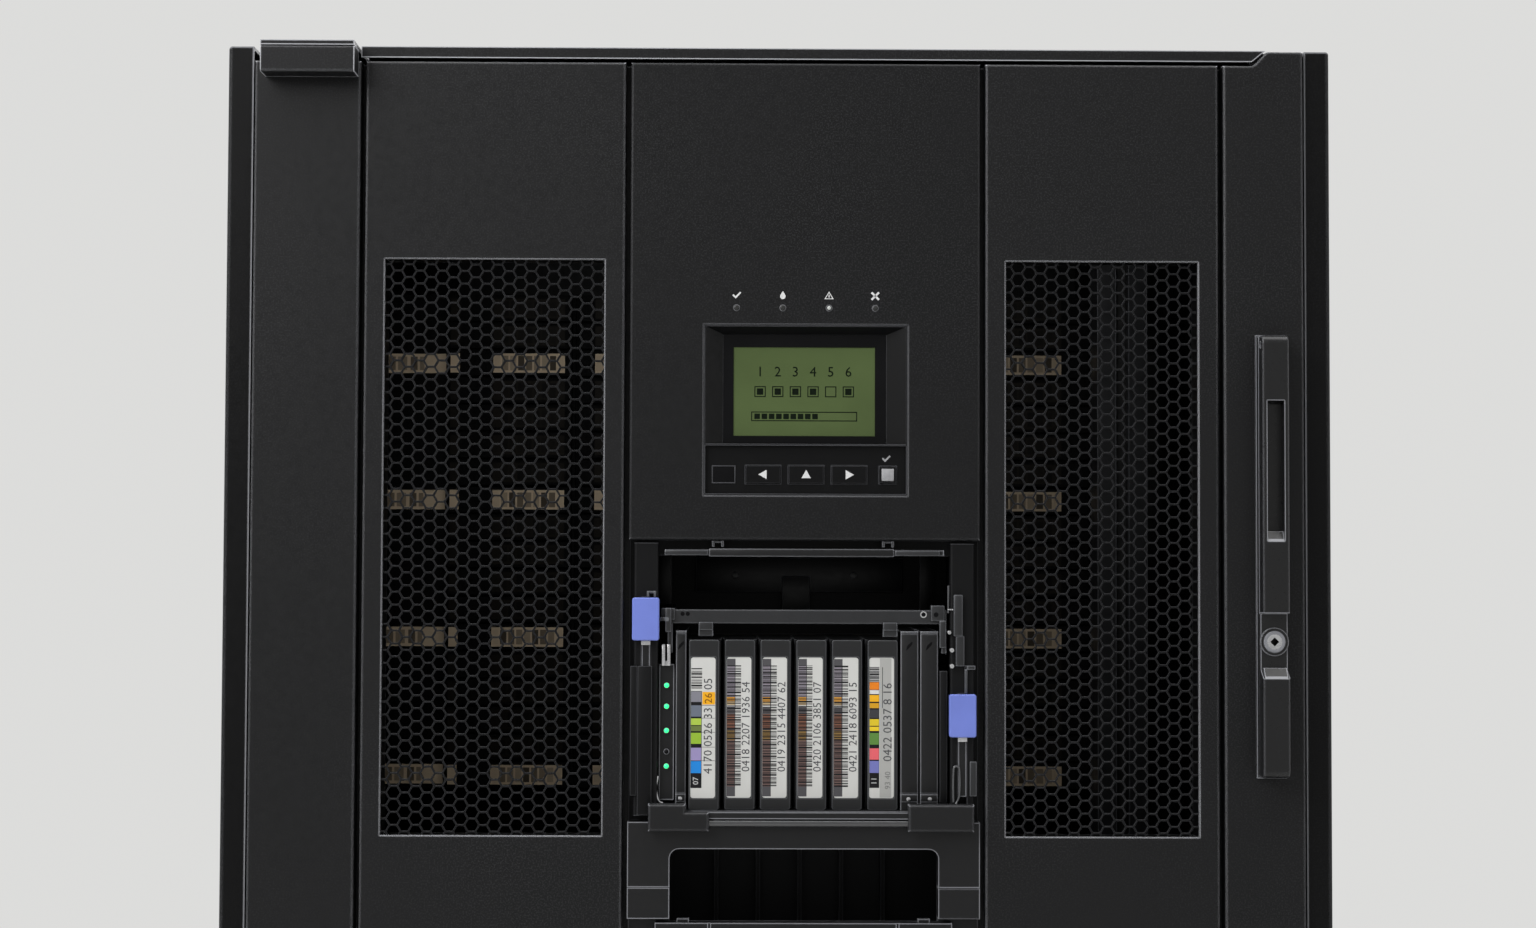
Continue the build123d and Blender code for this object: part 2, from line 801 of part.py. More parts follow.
def make_door_skins():
    with BuildPart() as left_stile:
        add(door_tray(door_left, stile_edge, door_bottom, panel_top))
    save(left_stile, "left_stile")

    with BuildPart() as right_stile:
        ear_foot = door_right - ear_width - ear_slope
        ear_top = cabinet_height - ear_drop
        with BuildSketch(face_plane(front_y)):
            with BuildLine():
                Polyline(
                    (right_stile_x, door_bottom),
                    (door_right, door_bottom),
                    (door_right, ear_top),
                    (door_right - ear_width, ear_top),
                    (ear_foot, panel_top),
                    (right_stile_x, panel_top),
                    close=True,
                )
            make_face()
        extrude(amount=-panel_depth)
        foot_point = (ear_foot, front_y, panel_top)
        slope_foot = right_stile.edges().filter_by(Axis.Y).sort_by_distance(foot_point)[0]
        fillet(slope_foot, ear_radius)
        fillet(right_stile.faces().sort_by(Axis.Y)[0].edges(), panel_edge_radius)
        with BuildSketch(face_plane(front_y + sheet)):
            corners(right_stile_x + sheet, door_right - sheet, door_bottom + sheet, panel_top - sheet)
        extrude(amount=-panel_depth, mode=Mode.SUBTRACT)
        with BuildSketch(face_plane(front_y + ear_depth)):
            corners(ear_foot, door_right, panel_top, ear_top)
        extrude(amount=-panel_depth, mode=Mode.SUBTRACT)
        with BuildSketch(face_plane(front_y)):
            with Locations((handle_x, lock_z)):
                Circle(lock_radius + lock_hole_gap)
        extrude(amount=-sheet, mode=Mode.SUBTRACT)
    save(right_stile, "right_stile")

    make_grille_panel("left", left_panel_x, left_panel_width)
    make_grille_panel("right", right_panel_x, right_panel_width)

    with BuildPart() as lower_panel:
        add(door_tray(console_left, console_right, door_bottom, sill_low - panel_gap))
    save(lower_panel, "lower_panel")


def make_grille_panel(side, left, width):
    """Grille panel of the door with its window, and the honeycomb sheet that backs the window."""
    window_left, window_right = left + grille_margin, left + width - grille_margin
    with BuildPart() as grille_panel:
        add(door_tray(left, left + width, door_bottom, panel_top))
        with BuildSketch(face_plane(front_y)):
            corners(window_left, window_right, grille_bottom, grille_top)
        extrude(amount=-sheet, mode=Mode.SUBTRACT)
        window = grille_panel.faces().sort_by(Axis.Y)[0].inner_wires()[0]
        chamfer(window.edges(), cut_edge)
    save(grille_panel, f"{side}_grille_panel")

    hex_radius = (hex_pitch - hex_web) / 2 / cos(radians(30))
    column_pitch = hex_pitch * sqrt(3) / 2
    columns = int((window_right - window_left - 2 * hex_radius) / column_pitch) + 1
    rows = int(grille_height / hex_pitch - 0.5)
    first_x = (window_left + window_right - (columns - 1) * column_pitch) / 2
    first_z = (grille_bottom + grille_top - (rows - 0.5) * hex_pitch) / 2
    centres = [
        (first_x + column * column_pitch, first_z + (row + column % 2 / 2) * hex_pitch)
        for column in range(columns)
        for row in range(rows)
    ]
    with BuildPart() as grille:
        with BuildSketch(face_plane(front_y + sheet)):
            corners(
                window_left - grille_rim,
                window_right + grille_rim,
                grille_bottom - grille_rim,
                grille_top + grille_rim,
            )
            with Locations(*centres):
                RegularPolygon(hex_radius, 6, mode=Mode.SUBTRACT)
        extrude(amount=-grille_thickness)
    save(grille, f"{side}_grille")


def make_hinges():
    left, right = door_left + hinge_inset, door_left + hinge_inset + hinge_block_width
    with BuildPart() as hinge_brackets:
        for plate_low, pin_low in (
            (cabinet_height - hinge_plate, cabinet_height - hinge_plate - hinge_pin_length),
            (base_top, base_top + hinge_plate),
        ):
            with BuildSketch(Plane.XY.offset(plate_low)):
                corners(left, right, front_y - front_proud, case_front_y)
            extrude(amount=hinge_plate)
            with BuildSketch(Plane.XY.offset(pin_low)):
                with Locations((hinge_x, hinge_y)):
                    Circle(hinge_pin_radius)
            extrude(amount=hinge_pin_length)
    save(hinge_brackets, "hinge_brackets")

    top_block_low = cabinet_height - hinge_plate - seat_gap - hinge_block_height
    with BuildPart() as hinge_blocks:
        for block_low in (top_block_low, base_top + hinge_plate + seat_gap):
            with BuildSketch(Plane.XY.offset(block_low)):
                corners(left, right, front_y - front_proud, front_y)
            extrude(amount=hinge_block_height)
        fillet(hinge_blocks.edges().filter_by(Axis.X).group_by(Axis.Y)[0], panel_edge_radius)
        bore_depth = hinge_pin_length + seat_gap
        top_bore_low = cabinet_height - hinge_plate - seat_gap - bore_depth
        for bore_low in (top_bore_low, base_top + hinge_plate + seat_gap):
            with BuildSketch(Plane.XY.offset(bore_low)):
                with Locations((hinge_x, hinge_y)):
                    Circle(hinge_pin_radius + pin_gap)
            extrude(amount=bore_depth, mode=Mode.SUBTRACT)
    save(hinge_blocks, "hinge_blocks")


# Console: skin, moulded display bezel, window, display, key board, keys and status lights
def key_places():
    """Name, centre x, width and height of every key."""
    places = []
    for index, name in enumerate(("key_left", "key_up", "key_right")):
        middle = display_left + key_inset + key_width / 2 + index * key_pitch
        places.append((name, middle, key_width, key_height))
    places.append(("key_select", display_left + select_inset + select_size / 2, select_size, select_size))
    return places


def make_console():
    light_x = console_left + light_inset
    light_z = cabinet_height - light_drop
    light_places = [(light_x + index * light_pitch, light_z) for index in range(light_count)]
    with BuildPart() as console_panel:
        add(door_tray(console_left, console_right, console_bottom, panel_top))
        with BuildSketch(face_plane(front_y)):
            corners(display_left, display_right, display_low, display_top)
            with Locations(*light_places):
                Circle(light_radius + fit_gap)
        extrude(amount=-sheet, mode=Mode.SUBTRACT)
        cut_outs = console_panel.faces().sort_by(Axis.Y)[0].inner_wires()
        chamfer(cut_outs.sort_by(SortBy.LENGTH)[-1].edges(), cut_edge)
    save(console_panel, "console_panel")

    with BuildPart() as status_lights:
        with BuildSketch(face_plane(front_y - light_proud)):
            with Locations(*light_places):
                Circle(light_radius)
        extrude(amount=-light_length)
    save(status_lights, "status_lights")

    bezel_y = front_y + bezel_setback
    pocket_y = front_y + display_depth
    window_left = display_left + window_inset
    window_top = display_top - window_drop
    window_right, window_low = window_left + window_width, window_top - window_height
    lcd_left, lcd_top = window_left + lcd_inset, window_top - lcd_drop
    lcd_right, lcd_low = lcd_left + lcd_width, lcd_top - lcd_height
    with BuildPart() as console_bezel:
        with BuildSketch(face_plane(bezel_y)):
            corners(
                display_left + fit_gap,
                display_right - fit_gap,
                display_low + fit_gap,
                display_top - fit_gap,
            )
        extrude(amount=-(board_y - bezel_y))
        with BuildSketch(face_plane(bezel_y)):
            corners(
                display_left + bezel_lip,
                display_right - bezel_lip,
                strip_top + bezel_lip,
                display_top - bezel_lip,
            )
        with BuildSketch(face_plane(pocket_y)):
            corners(window_left, window_right, window_low, window_top)
        loft(mode=Mode.SUBTRACT)
        with BuildSketch(face_plane(pocket_y)):
            corners(window_left, window_right, window_low, window_top)
        extrude(amount=-window_thickness, mode=Mode.SUBTRACT)
        with BuildSketch(face_plane(pocket_y)):
            corners(lcd_left - fit_gap, lcd_right + fit_gap, lcd_low - fit_gap, lcd_top + fit_gap)
        extrude(amount=-panel_depth, mode=Mode.SUBTRACT)
        with BuildSketch(face_plane(bezel_y)):
            corners(display_left + bezel_lip, display_right - bezel_lip, strip_low, strip_top)
        extrude(amount=-(key_strip_depth - bezel_setback), mode=Mode.SUBTRACT)
        floor_back_y = front_y + key_strip_depth + key_floor
        with BuildSketch(face_plane(floor_back_y)):
            corners(
                display_left + key_room_inset,
                display_right - key_room_inset,
                strip_low + key_room_inset,
                strip_top - key_room_inset,
            )
        extrude(amount=-panel_depth, mode=Mode.SUBTRACT)
        with BuildSketch(face_plane(bezel_y)):
            for name, middle, width, height in key_places():
                with Locations((middle, key_z)):
                    Rectangle(width + 2 * seat_gap, height + 2 * seat_gap)
        extrude(amount=-panel_depth, mode=Mode.SUBTRACT)
    save(console_bezel, "console_bezel")

    with BuildPart() as display_window:
        with BuildSketch(face_plane(pocket_y)):
            corners(
                window_left + fit_gap,
                window_right - fit_gap,
                window_low + fit_gap,
                window_top - fit_gap,
            )
            corners(
                lcd_left - fit_gap,
                lcd_right + fit_gap,
                lcd_low - fit_gap,
                lcd_top + fit_gap,
                mode=Mode.SUBTRACT,
            )
        extrude(amount=-window_thickness)
    save(display_window, "display_window")

    with BuildPart() as lcd_panel:
        with BuildSketch(face_plane(pocket_y + lcd_sink)):
            corners(lcd_left, lcd_right, lcd_low, lcd_top)
        extrude(amount=-(board_y - pocket_y - lcd_sink))
    save(lcd_panel, "lcd_panel")

    with BuildPart() as keypad_board:
        with BuildSketch(face_plane(board_y)):
            corners(
                display_left + bezel_lip,
                display_right - bezel_lip,
                display_low + bezel_lip,
                display_top - bezel_lip,
            )
        extrude(amount=-board_thickness)
    save(keypad_board, "keypad_board")

    for name, middle, width, height in key_places():
        make_key(name, middle, width, height, floor_back_y)


def make_key(name, middle, width, height, floor_back_y):
    """Rounded key cap with a holding flange behind the bezel and a plunger towards the board."""
    cap_y = front_y + key_strip_depth - key_proud
    flange_y = floor_back_y + seat_gap
    plunger_y = flange_y + key_flange_thickness
    with BuildPart() as key:
        with BuildSketch(face_plane(cap_y)):
            with Locations((middle, key_z)):
                Rectangle(width, height)
        extrude(amount=-(flange_y - cap_y))
        fillet(key.faces().sort_by(Axis.Y)[0].edges(), key_edge_radius)
        with BuildSketch(face_plane(flange_y)):
            with Locations((middle, key_z)):
                Rectangle(width + 2 * key_flange, height + 2 * key_flange)
        extrude(amount=-key_flange_thickness)
        with BuildSketch(face_plane(plunger_y)):
            with Locations((middle, key_z)):
                Rectangle(width / 2, height / 2)
        extrude(amount=-(board_y - key_travel - seat_gap - plunger_y))
    save(key, name)


# Upper loading bay: housing with its flange, trim bar, guide posts, lamp strip and release slides
def make_loading_bay():
    flange_y = frame_y - sheet
    housing_top = console_bottom - sheet
    open_left, open_right = housing_left + flange_lap, housing_right - flange_lap
    trim_low = console_bottom - trim_bar_drop - trim_bar_height
    with BuildPart() as io_housing:
        with BuildSketch(face_plane(frame_y)):
            corners(housing_left, housing_right, bay_floor - sheet, housing_top)
        extrude(amount=-(bay_back_y + sheet - frame_y))
        with BuildSketch(face_plane(frame_y)):
            corners(housing_left + sheet, housing_right - sheet, bay_floor, housing_top - sheet)
        extrude(amount=-(bay_back_y - frame_y), mode=Mode.SUBTRACT)
        with BuildSketch(face_plane(flange_y)):
            corners(
                console_left + fit_gap,
                console_right - fit_gap,
                bay_bottom + fit_gap,
                console_bottom - fit_gap,
            )
            corners(open_left, open_right, bay_floor, trim_low, mode=Mode.SUBTRACT)
        extrude(amount=-sheet)
        with BuildSketch(face_plane(bay_back_y)):
            corners(magazine_x, magazine_end, cartridge_low, cartridge_top)
        extrude(amount=-sheet, mode=Mode.SUBTRACT)
        for wall_x, arm_x, pin_x in (
            (housing_left + sheet, left_arm_x - seat_gap, left_arm_x + bar_arm),
            (housing_right - sheet, right_arm_x + bar_arm + seat_gap, right_arm_x),
        ):
            with BuildSketch(Plane.YZ.offset(wall_x)):
                with Locations((bar_pivot_y, bar_pivot_z)):
                    Circle(bar_boss_radius)
            extrude(amount=arm_x - wall_x)
            with BuildSketch(Plane.YZ.offset(wall_x)):
                with Locations((bar_pivot_y, bar_pivot_z)):
                    Circle(bar_pin_radius)
            extrude(amount=pin_x - wall_x)
    save(io_housing, "io_housing")

    with BuildPart() as bay_trim_bar:
        with BuildSketch(face_plane(front_y + post_setback)):
            trim_left, trim_right = console_left + trim_bar_inset, console_right - trim_bar_inset
            corners(trim_left, trim_right, trim_low, trim_low + trim_bar_height)
        extrude(amount=-(flange_y - front_y - post_setback))
        fillet(bay_trim_bar.faces().sort_by(Axis.Y)[0].edges().filter_by(Axis.X), small_radius)
    save(bay_trim_bar, "bay_trim_bar")

    left_x = console_left + post_inset
    right_x = console_right - post_inset - post_width
    strip_right = magazine_x - bar_arm_gap / 2
    strip_left = strip_right - strip_width
    strip_z = console_bottom - strip_drop
    strip_y = flange_y - strip_bracket - strip_thickness
    for name, post_x, tab_drop in (
        ("left", left_x, left_tab_drop),
        ("right", right_x, right_tab_drop),
    ):
        make_release(name, post_x, tab_drop, flange_y, strip_left, strip_right, strip_z)

    with BuildPart() as led_strip:
        with BuildSketch(face_plane(strip_y)):
            corners(strip_left, strip_right, strip_z - strip_height, strip_z)
        extrude(amount=-strip_thickness)
        with BuildSketch(face_plane(strip_y)):
            with Locations(*[((strip_left + strip_right) / 2, strip_z - drop) for drop in lamp_drops]):
                Circle(lamp_radius)
        extrude(amount=lamp_height)
    save(led_strip, "led_strip")


def make_release(side, post_x, tab_drop, flange_y, strip_left, strip_right, strip_z):
    """Guide post with a vertical groove, and the release tab whose stem slides in it."""
    post_y = front_y + post_setback
    post_end = post_x + post_width
    groove_x = post_x + post_width / 2
    tab_top = console_bottom - tab_drop
    tab_low = tab_top - tab_height
    with BuildPart() as guide_post:
        with BuildSketch(face_plane(post_y)):
            corners(post_x, post_end, bay_floor, console_bottom - sheet)
        extrude(amount=-(flange_y - post_y))
        fillet(guide_post.edges().filter_by(Axis.Z).group_by(Axis.Y)[0], panel_edge_radius)
        with BuildSketch(face_plane(post_y)):
            groove_half = groove_width / 2
            corners(groove_x - groove_half, groove_x + groove_half, bay_floor, tab_top + seat_gap)
        extrude(amount=-groove_depth, mode=Mode.SUBTRACT)
        if side == "left":
            with BuildSketch(face_plane(flange_y - strip_bracket)):
                corners(post_end, strip_right, strip_z - strip_height, strip_z)
            extrude(amount=-strip_bracket)
    save(guide_post, f"{side}_guide_post")

    tab_y = front_y - tab_proud
    stem_half = groove_width / 2 - seat_gap
    with BuildPart() as release:
        with BuildSketch(face_plane(tab_y)):
            with Locations((groove_x, (tab_low + tab_top) / 2)):
                RectangleRounded(tab_width, tab_height, panel_edge_radius)
        extrude(amount=-tab_thickness)
        fillet(release.faces().sort_by(Axis.Y)[0].edges(), small_radius)
        with BuildSketch(face_plane(tab_y + tab_thickness)):
            corners(groove_x - stem_half, groove_x + stem_half, tab_low - tab_stem_length, tab_top)
        extrude(amount=-(post_y + groove_depth - seat_gap - tab_y - tab_thickness))
    save(release, f"{side}_release")


# Magazine with its front rail, six cartridges and the retaining bar above them
def make_magazine():
    base_low = bay_floor + seat_gap
    wall_top = base_low + magazine_wall_height
    rail_y = front_y - rail_proud
    rail_back_y = front_y - seat_gap
    rail_top = cartridge_low + rail_block_rise
    slots_left = magazine_x + magazine_left_wall
    slots_right = magazine_end - magazine_right_wall
    with BuildPart() as io_magazine:
        with BuildSketch(face_plane(magazine_y)):
            corners(magazine_x, magazine_end, base_low, wall_top)
            corners(slots_left, slots_right, cartridge_low, wall_top, mode=Mode.SUBTRACT)
            split_x = slots_right + (magazine_right_wall - magazine_wall_split) / 2
            split_end = split_x + magazine_wall_split
            corners(split_x, split_end, cartridge_low, wall_top, mode=Mode.SUBTRACT)
        extrude(amount=-(magazine_back_y + magazine_back - magazine_y))
        with BuildSketch(face_plane(magazine_back_y)):
            corners(slots_left, slots_right, base_low, cartridge_low + magazine_back_height)
        extrude(amount=-magazine_back)
        with BuildSketch(face_plane(rail_back_y)):
            corners(magazine_x, magazine_end, base_low, cartridge_low)
        extrude(amount=-(magazine_y - rail_back_y))
        block_low = rail_top - rail_block_height
        left_block_end, right_block_x = slots_left + rail_left_lap, slots_right + rail_right_inset
        with BuildSketch(face_plane(rail_y)):
            corners(magazine_x - rail_left_overhang, slots_left, block_low, rail_top)
            corners(slots_left, left_block_end, block_low, cartridge_low - seat_gap)
            corners(right_block_x, magazine_end + rail_right_overhang, block_low, rail_top)
        extrude(amount=-(rail_back_y - rail_y))
        fillet(io_magazine.faces().group_by(Axis.Y)[0].edges(), panel_edge_radius)
        with BuildSketch(Plane.YZ.offset(left_block_end)):
            bar_y, tube_y = rail_y + rail_setback, rail_y + rail_setback + rail_tube_radius
            corners(bar_y, rail_back_y, cartridge_low - seat_gap - rail_height, cartridge_low - seat_gap)
            with Locations((tube_y, cartridge_low - rail_tube_drop)):
                Circle(rail_tube_radius)
        extrude(amount=right_block_x - left_block_end)
    save(io_magazine, "io_magazine")

    for number in range(1, slot_count + 1):
        middle = slots_left + (number - 0.5) * slot_pitch
        forward = first_cartridge_forward if number == 1 else 0.0
        make_cartridge(number, middle, magazine_y - forward)


def make_cartridge(number, middle, cartridge_y):
    """Upright data cartridge: the shell, and its narrower grip end with the shallow label field."""
    middle_z = cartridge_low + cartridge_width / 2
    grip_width = cartridge_thickness - 2 * cartridge_grip_step
    with BuildPart() as cartridge:
        with BuildSketch(face_plane(cartridge_y + cartridge_grip_length)):
            with Locations((middle, middle_z)):
                Rectangle(cartridge_thickness, cartridge_width)
        extrude(amount=cartridge_grip_length - cartridge_length)
        fillet(cartridge.edges().filter_by(Axis.Z), cartridge_edge)
        with BuildSketch(face_plane(cartridge_y)):
            with Locations((middle, middle_z)):
                RectangleRounded(grip_width, cartridge_width, cartridge_grip_corner)
        extrude(amount=-cartridge_grip_length)
        fillet(cartridge.faces().sort_by(Axis.Y)[0].edges(), cartridge_grip_edge)
        with BuildSketch(face_plane(cartridge_y)):
            with Locations((middle - label_shift, cartridge_low + label_rise + label_length / 2)):
                Rectangle(label_width, label_length)
        extrude(amount=-label_sink, mode=Mode.SUBTRACT)
    save(cartridge, f"io_cartridge_{number}")


def make_retaining_bar():
    bar_back_y = magazine_y + bar_thickness
    pad_low = cartridge_top + bar_pad_gap
    with BuildPart() as retaining_bar:
        with BuildSketch(face_plane(magazine_y)):
            corners(left_arm_x, right_arm_x + bar_arm, bar_low, bar_top)
            right_pad_x = magazine_end - magazine_right_wall - bar_pad_width - bar_pad_gap
            for pad_x in (magazine_x + bar_pad_inset, right_pad_x):
                corners(pad_x, pad_x + bar_pad_width, pad_low, bar_low)
        extrude(amount=-bar_thickness)
        for arm_x in (left_arm_x, right_arm_x):
            with BuildSketch(Plane.YZ.offset(arm_x)):
                corners(magazine_y, bar_back_y + bar_arm_depth, bar_top - bar_arm_height, bar_top)
                corners(magazine_y, bar_pivot_y, bar_low, bar_top)
                with Locations((bar_pivot_y, bar_pivot_z)):
                    Circle(bar_boss_radius)
                    Circle(bar_pin_radius + pin_gap, mode=Mode.SUBTRACT)
            extrude(amount=bar_arm)
        fillet(retaining_bar.faces().sort_by(Axis.Y)[0].edges().filter_by(Axis.X), small_radius)
    save(retaining_bar, "retaining_bar")


# Lower loading bay: arched bezel, side blocks, ribbed hollow and the drop flap on its pin
def make_lower_bay():
    arch_top = bay_bottom - bezel_top_bar
    with BuildPart() as lower_bezel:
        with BuildSketch(face_plane(front_y)):
            corners(console_left, console_right, bezel_low, bay_bottom)
            arch_width = bezel_open_right - bezel_open_left
            with Locations(((bezel_open_left + bezel_open_right) / 2, arch_top - bezel_height)):
                RectangleRounded(arch_width, 2 * bezel_height, bezel_corner, mode=Mode.SUBTRACT)
        extrude(amount=-panel_depth)
        for low_x, high_x in ((console_left, bezel_open_left), (bezel_open_right, console_right)):
            with BuildSketch(face_plane(front_y)):
                corners(low_x, high_x, block_low, block_low + bezel_block_height)
            extrude(amount=-panel_depth)
        fillet(lower_bezel.faces().sort_by(Axis.Y)[0].edges().filter_by(Axis.X), small_radius)
    save(lower_bezel, "lower_bezel")

    bay_end_y = frame_y + lower_bay_depth
    housing_top = bay_bottom - sheet
    plate_y = frame_y - flap_frame_thickness
    with BuildPart() as lower_bay:
        with BuildSketch(face_plane(frame_y)):
            corners(housing_left, housing_right, sill_low + sheet, housing_top)
        extrude(amount=-(lower_bay_depth + sheet))
        with BuildSketch(face_plane(frame_y)):
            corners(housing_left + sheet, housing_right - sheet, sill_low + 2 * sheet, housing_top - sheet)
        extrude(amount=-lower_bay_depth, mode=Mode.SUBTRACT)
        with BuildSketch(face_plane(plate_y)):
            corners(console_left + fit_gap, console_right - fit_gap, sill_low, block_low - fit_gap)
            corners(bezel_open_left, bezel_open_right, flap_low, block_low, mode=Mode.SUBTRACT)
        extrude(amount=-flap_frame_thickness)
        with BuildSketch(face_plane(front_y)):
            corners(console_left + fit_gap, console_right - fit_gap, sill_low, sill_top)
        extrude(amount=-(plate_y - front_y))
        rib_span = (bezel_open_right - bezel_open_left) / (bay_rib_count + 1)
        with BuildSketch(face_plane(bay_end_y - bay_rib_depth)):
            for index in range(1, bay_rib_count + 1):
                rib_x = bezel_open_left + index * rib_span
                corners(rib_x - bay_rib / 2, rib_x + bay_rib / 2, sill_low + 2 * sheet, housing_top - sheet)
        extrude(amount=-bay_rib_depth)
        pin_y = front_y + flap_radius
        ear_reach = flap_radius - seat_gap
        for ear_x in (flap_left - seat_gap - flap_ear, flap_right + seat_gap):
            with BuildSketch(Plane.YZ.offset(ear_x)):
                with Locations((pin_y, flap_pin_z)):
                    Circle(ear_reach)
                corners(pin_y, plate_y, flap_pin_z - ear_reach, flap_pin_z + ear_reach)
            extrude(amount=flap_ear)
        with BuildSketch(Plane.YZ.offset(flap_left - seat_gap - flap_ear)):
            with Locations((pin_y, flap_pin_z)):
                Circle(flap_pin_radius)
        extrude(amount=flap_right - flap_left + 2 * (seat_gap + flap_ear))
    save(lower_bay, "lower_bay")

    with BuildPart() as lower_flap:
        with BuildSketch(Plane.YZ.offset(flap_left)):
            corners(front_y, front_y + flap_thickness, flap_pin_z, flap_top)
            with Locations((pin_y, flap_pin_z)):
                Circle(flap_radius)
                Circle(flap_pin_radius + pin_gap, mode=Mode.SUBTRACT)
        extrude(amount=flap_right - flap_left)
        with BuildSketch(face_plane(front_y)):
            for groove_x in (flap_left + flap_end_width, flap_right - flap_end_width):
                corners(groove_x - flap_groove / 2, groove_x + flap_groove / 2, flap_low, flap_top)
        extrude(amount=-flap_groove, mode=Mode.SUBTRACT)
        with BuildSketch(face_plane(front_y + flap_nub_thickness)):
            for nub_x in (flap_left + flap_nub_inset, flap_right - flap_nub_inset - flap_nub_width):
                corners(nub_x, nub_x + flap_nub_width, flap_top, flap_top + flap_gap - seat_gap)
        extrude(amount=-flap_nub_thickness)
    save(lower_flap, "lower_flap")


# Lever handle: base with its lock boss and pivot lug, the lever with its finger scoop, the lock cylinder
def make_handle():
    half = handle_width / 2
    plate_half = half + base_margin
    zone_top = lever_low - seat_gap
    zone_low = zone_top - lock_zone_length
    with BuildPart() as handle_base:
        with BuildSketch(Plane.YZ.offset(handle_x - half)):
            with BuildLine():
                Polyline(
                    (front_y - base_plate, handle_top),
                    (front_y - base_plate, zone_top),
                    (lock_face_y, zone_top),
                    (lock_face_y, zone_low),
                    (front_y - front_proud, zone_low - lock_ramp),
                    (front_y - front_proud, handle_low),
                    (front_y, handle_low),
                    (front_y, handle_top),
                    close=True,
                )
            make_face()
        extrude(amount=handle_width)
        grip_point = (handle_x, lever_front_y, handle_low)
        grip_end = handle_base.edges().filter_by(Axis.X).sort_by_distance(grip_point)[0]
        fillet(grip_end, lever_top_radius)
        fillet(handle_base.edges().filter_by(Axis.Z).group_by(Axis.Y)[0], grip_edge_radius)
        with BuildSketch(face_plane(front_y - base_flange)):
            flange_low, flange_top = handle_low - base_margin, handle_top + base_margin
            corners(handle_x - plate_half, handle_x + plate_half, flange_low, flange_top)
        extrude(amount=-base_flange)
        with BuildSketch(Plane.YZ.offset(handle_x - lug_width / 2)):
            with Locations((lever_pin_y, lever_pin_z)):
                Circle(lug_radius)
            neck_low, neck_top = lever_pin_z - lug_radius, lever_pin_z + lug_neck_rise
            corners(lever_pin_y, front_y - base_plate, neck_low, neck_top)
        extrude(amount=lug_width)
        with BuildSketch(Plane.YZ.offset(handle_x - half + base_margin)):
            with Locations((lever_pin_y, lever_pin_z)):
                Circle(lever_pin_radius)
        extrude(amount=handle_width - 2 * base_margin)
        with BuildSketch(face_plane(lock_face_y)):
            with Locations((handle_x, lock_z)):
                Circle(lock_ring_radius - base_margin)
        extrude(amount=lock_ring_rise)
        with BuildSketch(face_plane(lock_face_y - lock_ring_rise)):
            with Locations((handle_x, lock_z)):
                Circle(lock_radius + fit_gap)
        extrude(amount=-front_proud, mode=Mode.SUBTRACT)
    save(handle_base, "handle_base")

    scoop_top = handle_top - scoop_drop
    scoop_low = scoop_top - scoop_length
    with BuildPart() as handle_lever:
        with BuildSketch(Plane.YZ.offset(handle_x - half)) as side_profile:
            corners(lever_front_y, lever_back_y, lever_low, handle_top)
            back_corner = side_profile.vertices().sort_by_distance((lever_back_y, handle_top))[0]
            fillet(back_corner, lever_thickness / 2 - pin_gap)
            front_corner = side_profile.vertices().sort_by_distance((lever_front_y, handle_top))[0]
            fillet(front_corner, lever_top_radius)
        extrude(amount=handle_width)
        fillet(handle_lever.edges().filter_by(Axis.Z).group_by(Axis.Y)[0], grip_edge_radius)
        with BuildSketch(Plane.YZ.offset(handle_x - scoop_width / 2)):
            with BuildLine():
                Polyline(
                    (lever_front_y, scoop_top),
                    (lever_front_y + scoop_depth, scoop_top - scoop_brow),
                    (lever_front_y + scoop_depth, scoop_low + scoop_ramp),
                    (lever_front_y, scoop_low),
                    close=True,
                )
            make_face()
        extrude(amount=scoop_width, mode=Mode.SUBTRACT)
        slot_half = lug_width / 2 + seat_gap
        slot_radius = lug_radius + seat_gap
        with BuildSketch(Plane.YZ.offset(handle_x - slot_half)):
            with Locations((lever_pin_y, lever_pin_z)):
                Circle(slot_radius)
            corners(lever_pin_y, lever_back_y, lever_pin_z - slot_radius, handle_top)
        extrude(amount=2 * slot_half, mode=Mode.SUBTRACT)
        with BuildSketch(Plane.YZ.offset(handle_x - half)):
            with Locations((lever_pin_y, lever_pin_z)):
                Circle(lever_pin_radius + pin_gap)
        extrude(amount=handle_width, mode=Mode.SUBTRACT)
    save(handle_lever, "handle_lever")

    lock_face = lock_face_y - lock_ring_rise - lock_proud
    with BuildPart() as lock_cylinder:
        with BuildSketch(face_plane(lock_face)):
            with Locations((handle_x, lock_z)):
                Circle(lock_radius)
        extrude(amount=-lock_length)
        with BuildSketch(face_plane(lock_face)):
            with Locations((handle_x, lock_z)):
                Rectangle(lock_socket, lock_socket, rotation=45)
        extrude(amount=-lock_socket_depth, mode=Mode.SUBTRACT)
        with BuildSketch(face_plane(lock_face + lock_length)):
            with Locations((handle_x, lock_z)):
                Circle(lock_radius)
            corners(handle_x - lock_radius, handle_x + lock_radius, lock_z, lock_z + lock_cam)
        extrude(amount=-lock_cam_thickness)
    save(lock_cylinder, "lock_cylinder")


make_base()
make_case()
make_side_panel("left_side_panel", -1)
make_side_panel("right_side_panel", 1)
make_rear()
make_racks()
make_picker()
make_door_frame()
make_door_skins()
make_hinges()
make_console()
make_loading_bay()
make_magazine()
make_retaining_bar()
make_lower_bay()
make_handle()
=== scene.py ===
"""Looks of a free-standing data tape library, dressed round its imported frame."""
import json
import math

import bmesh
import bpy
from bpy.props import FloatProperty, FloatVectorProperty, PointerProperty
from mathutils import Matrix, Vector


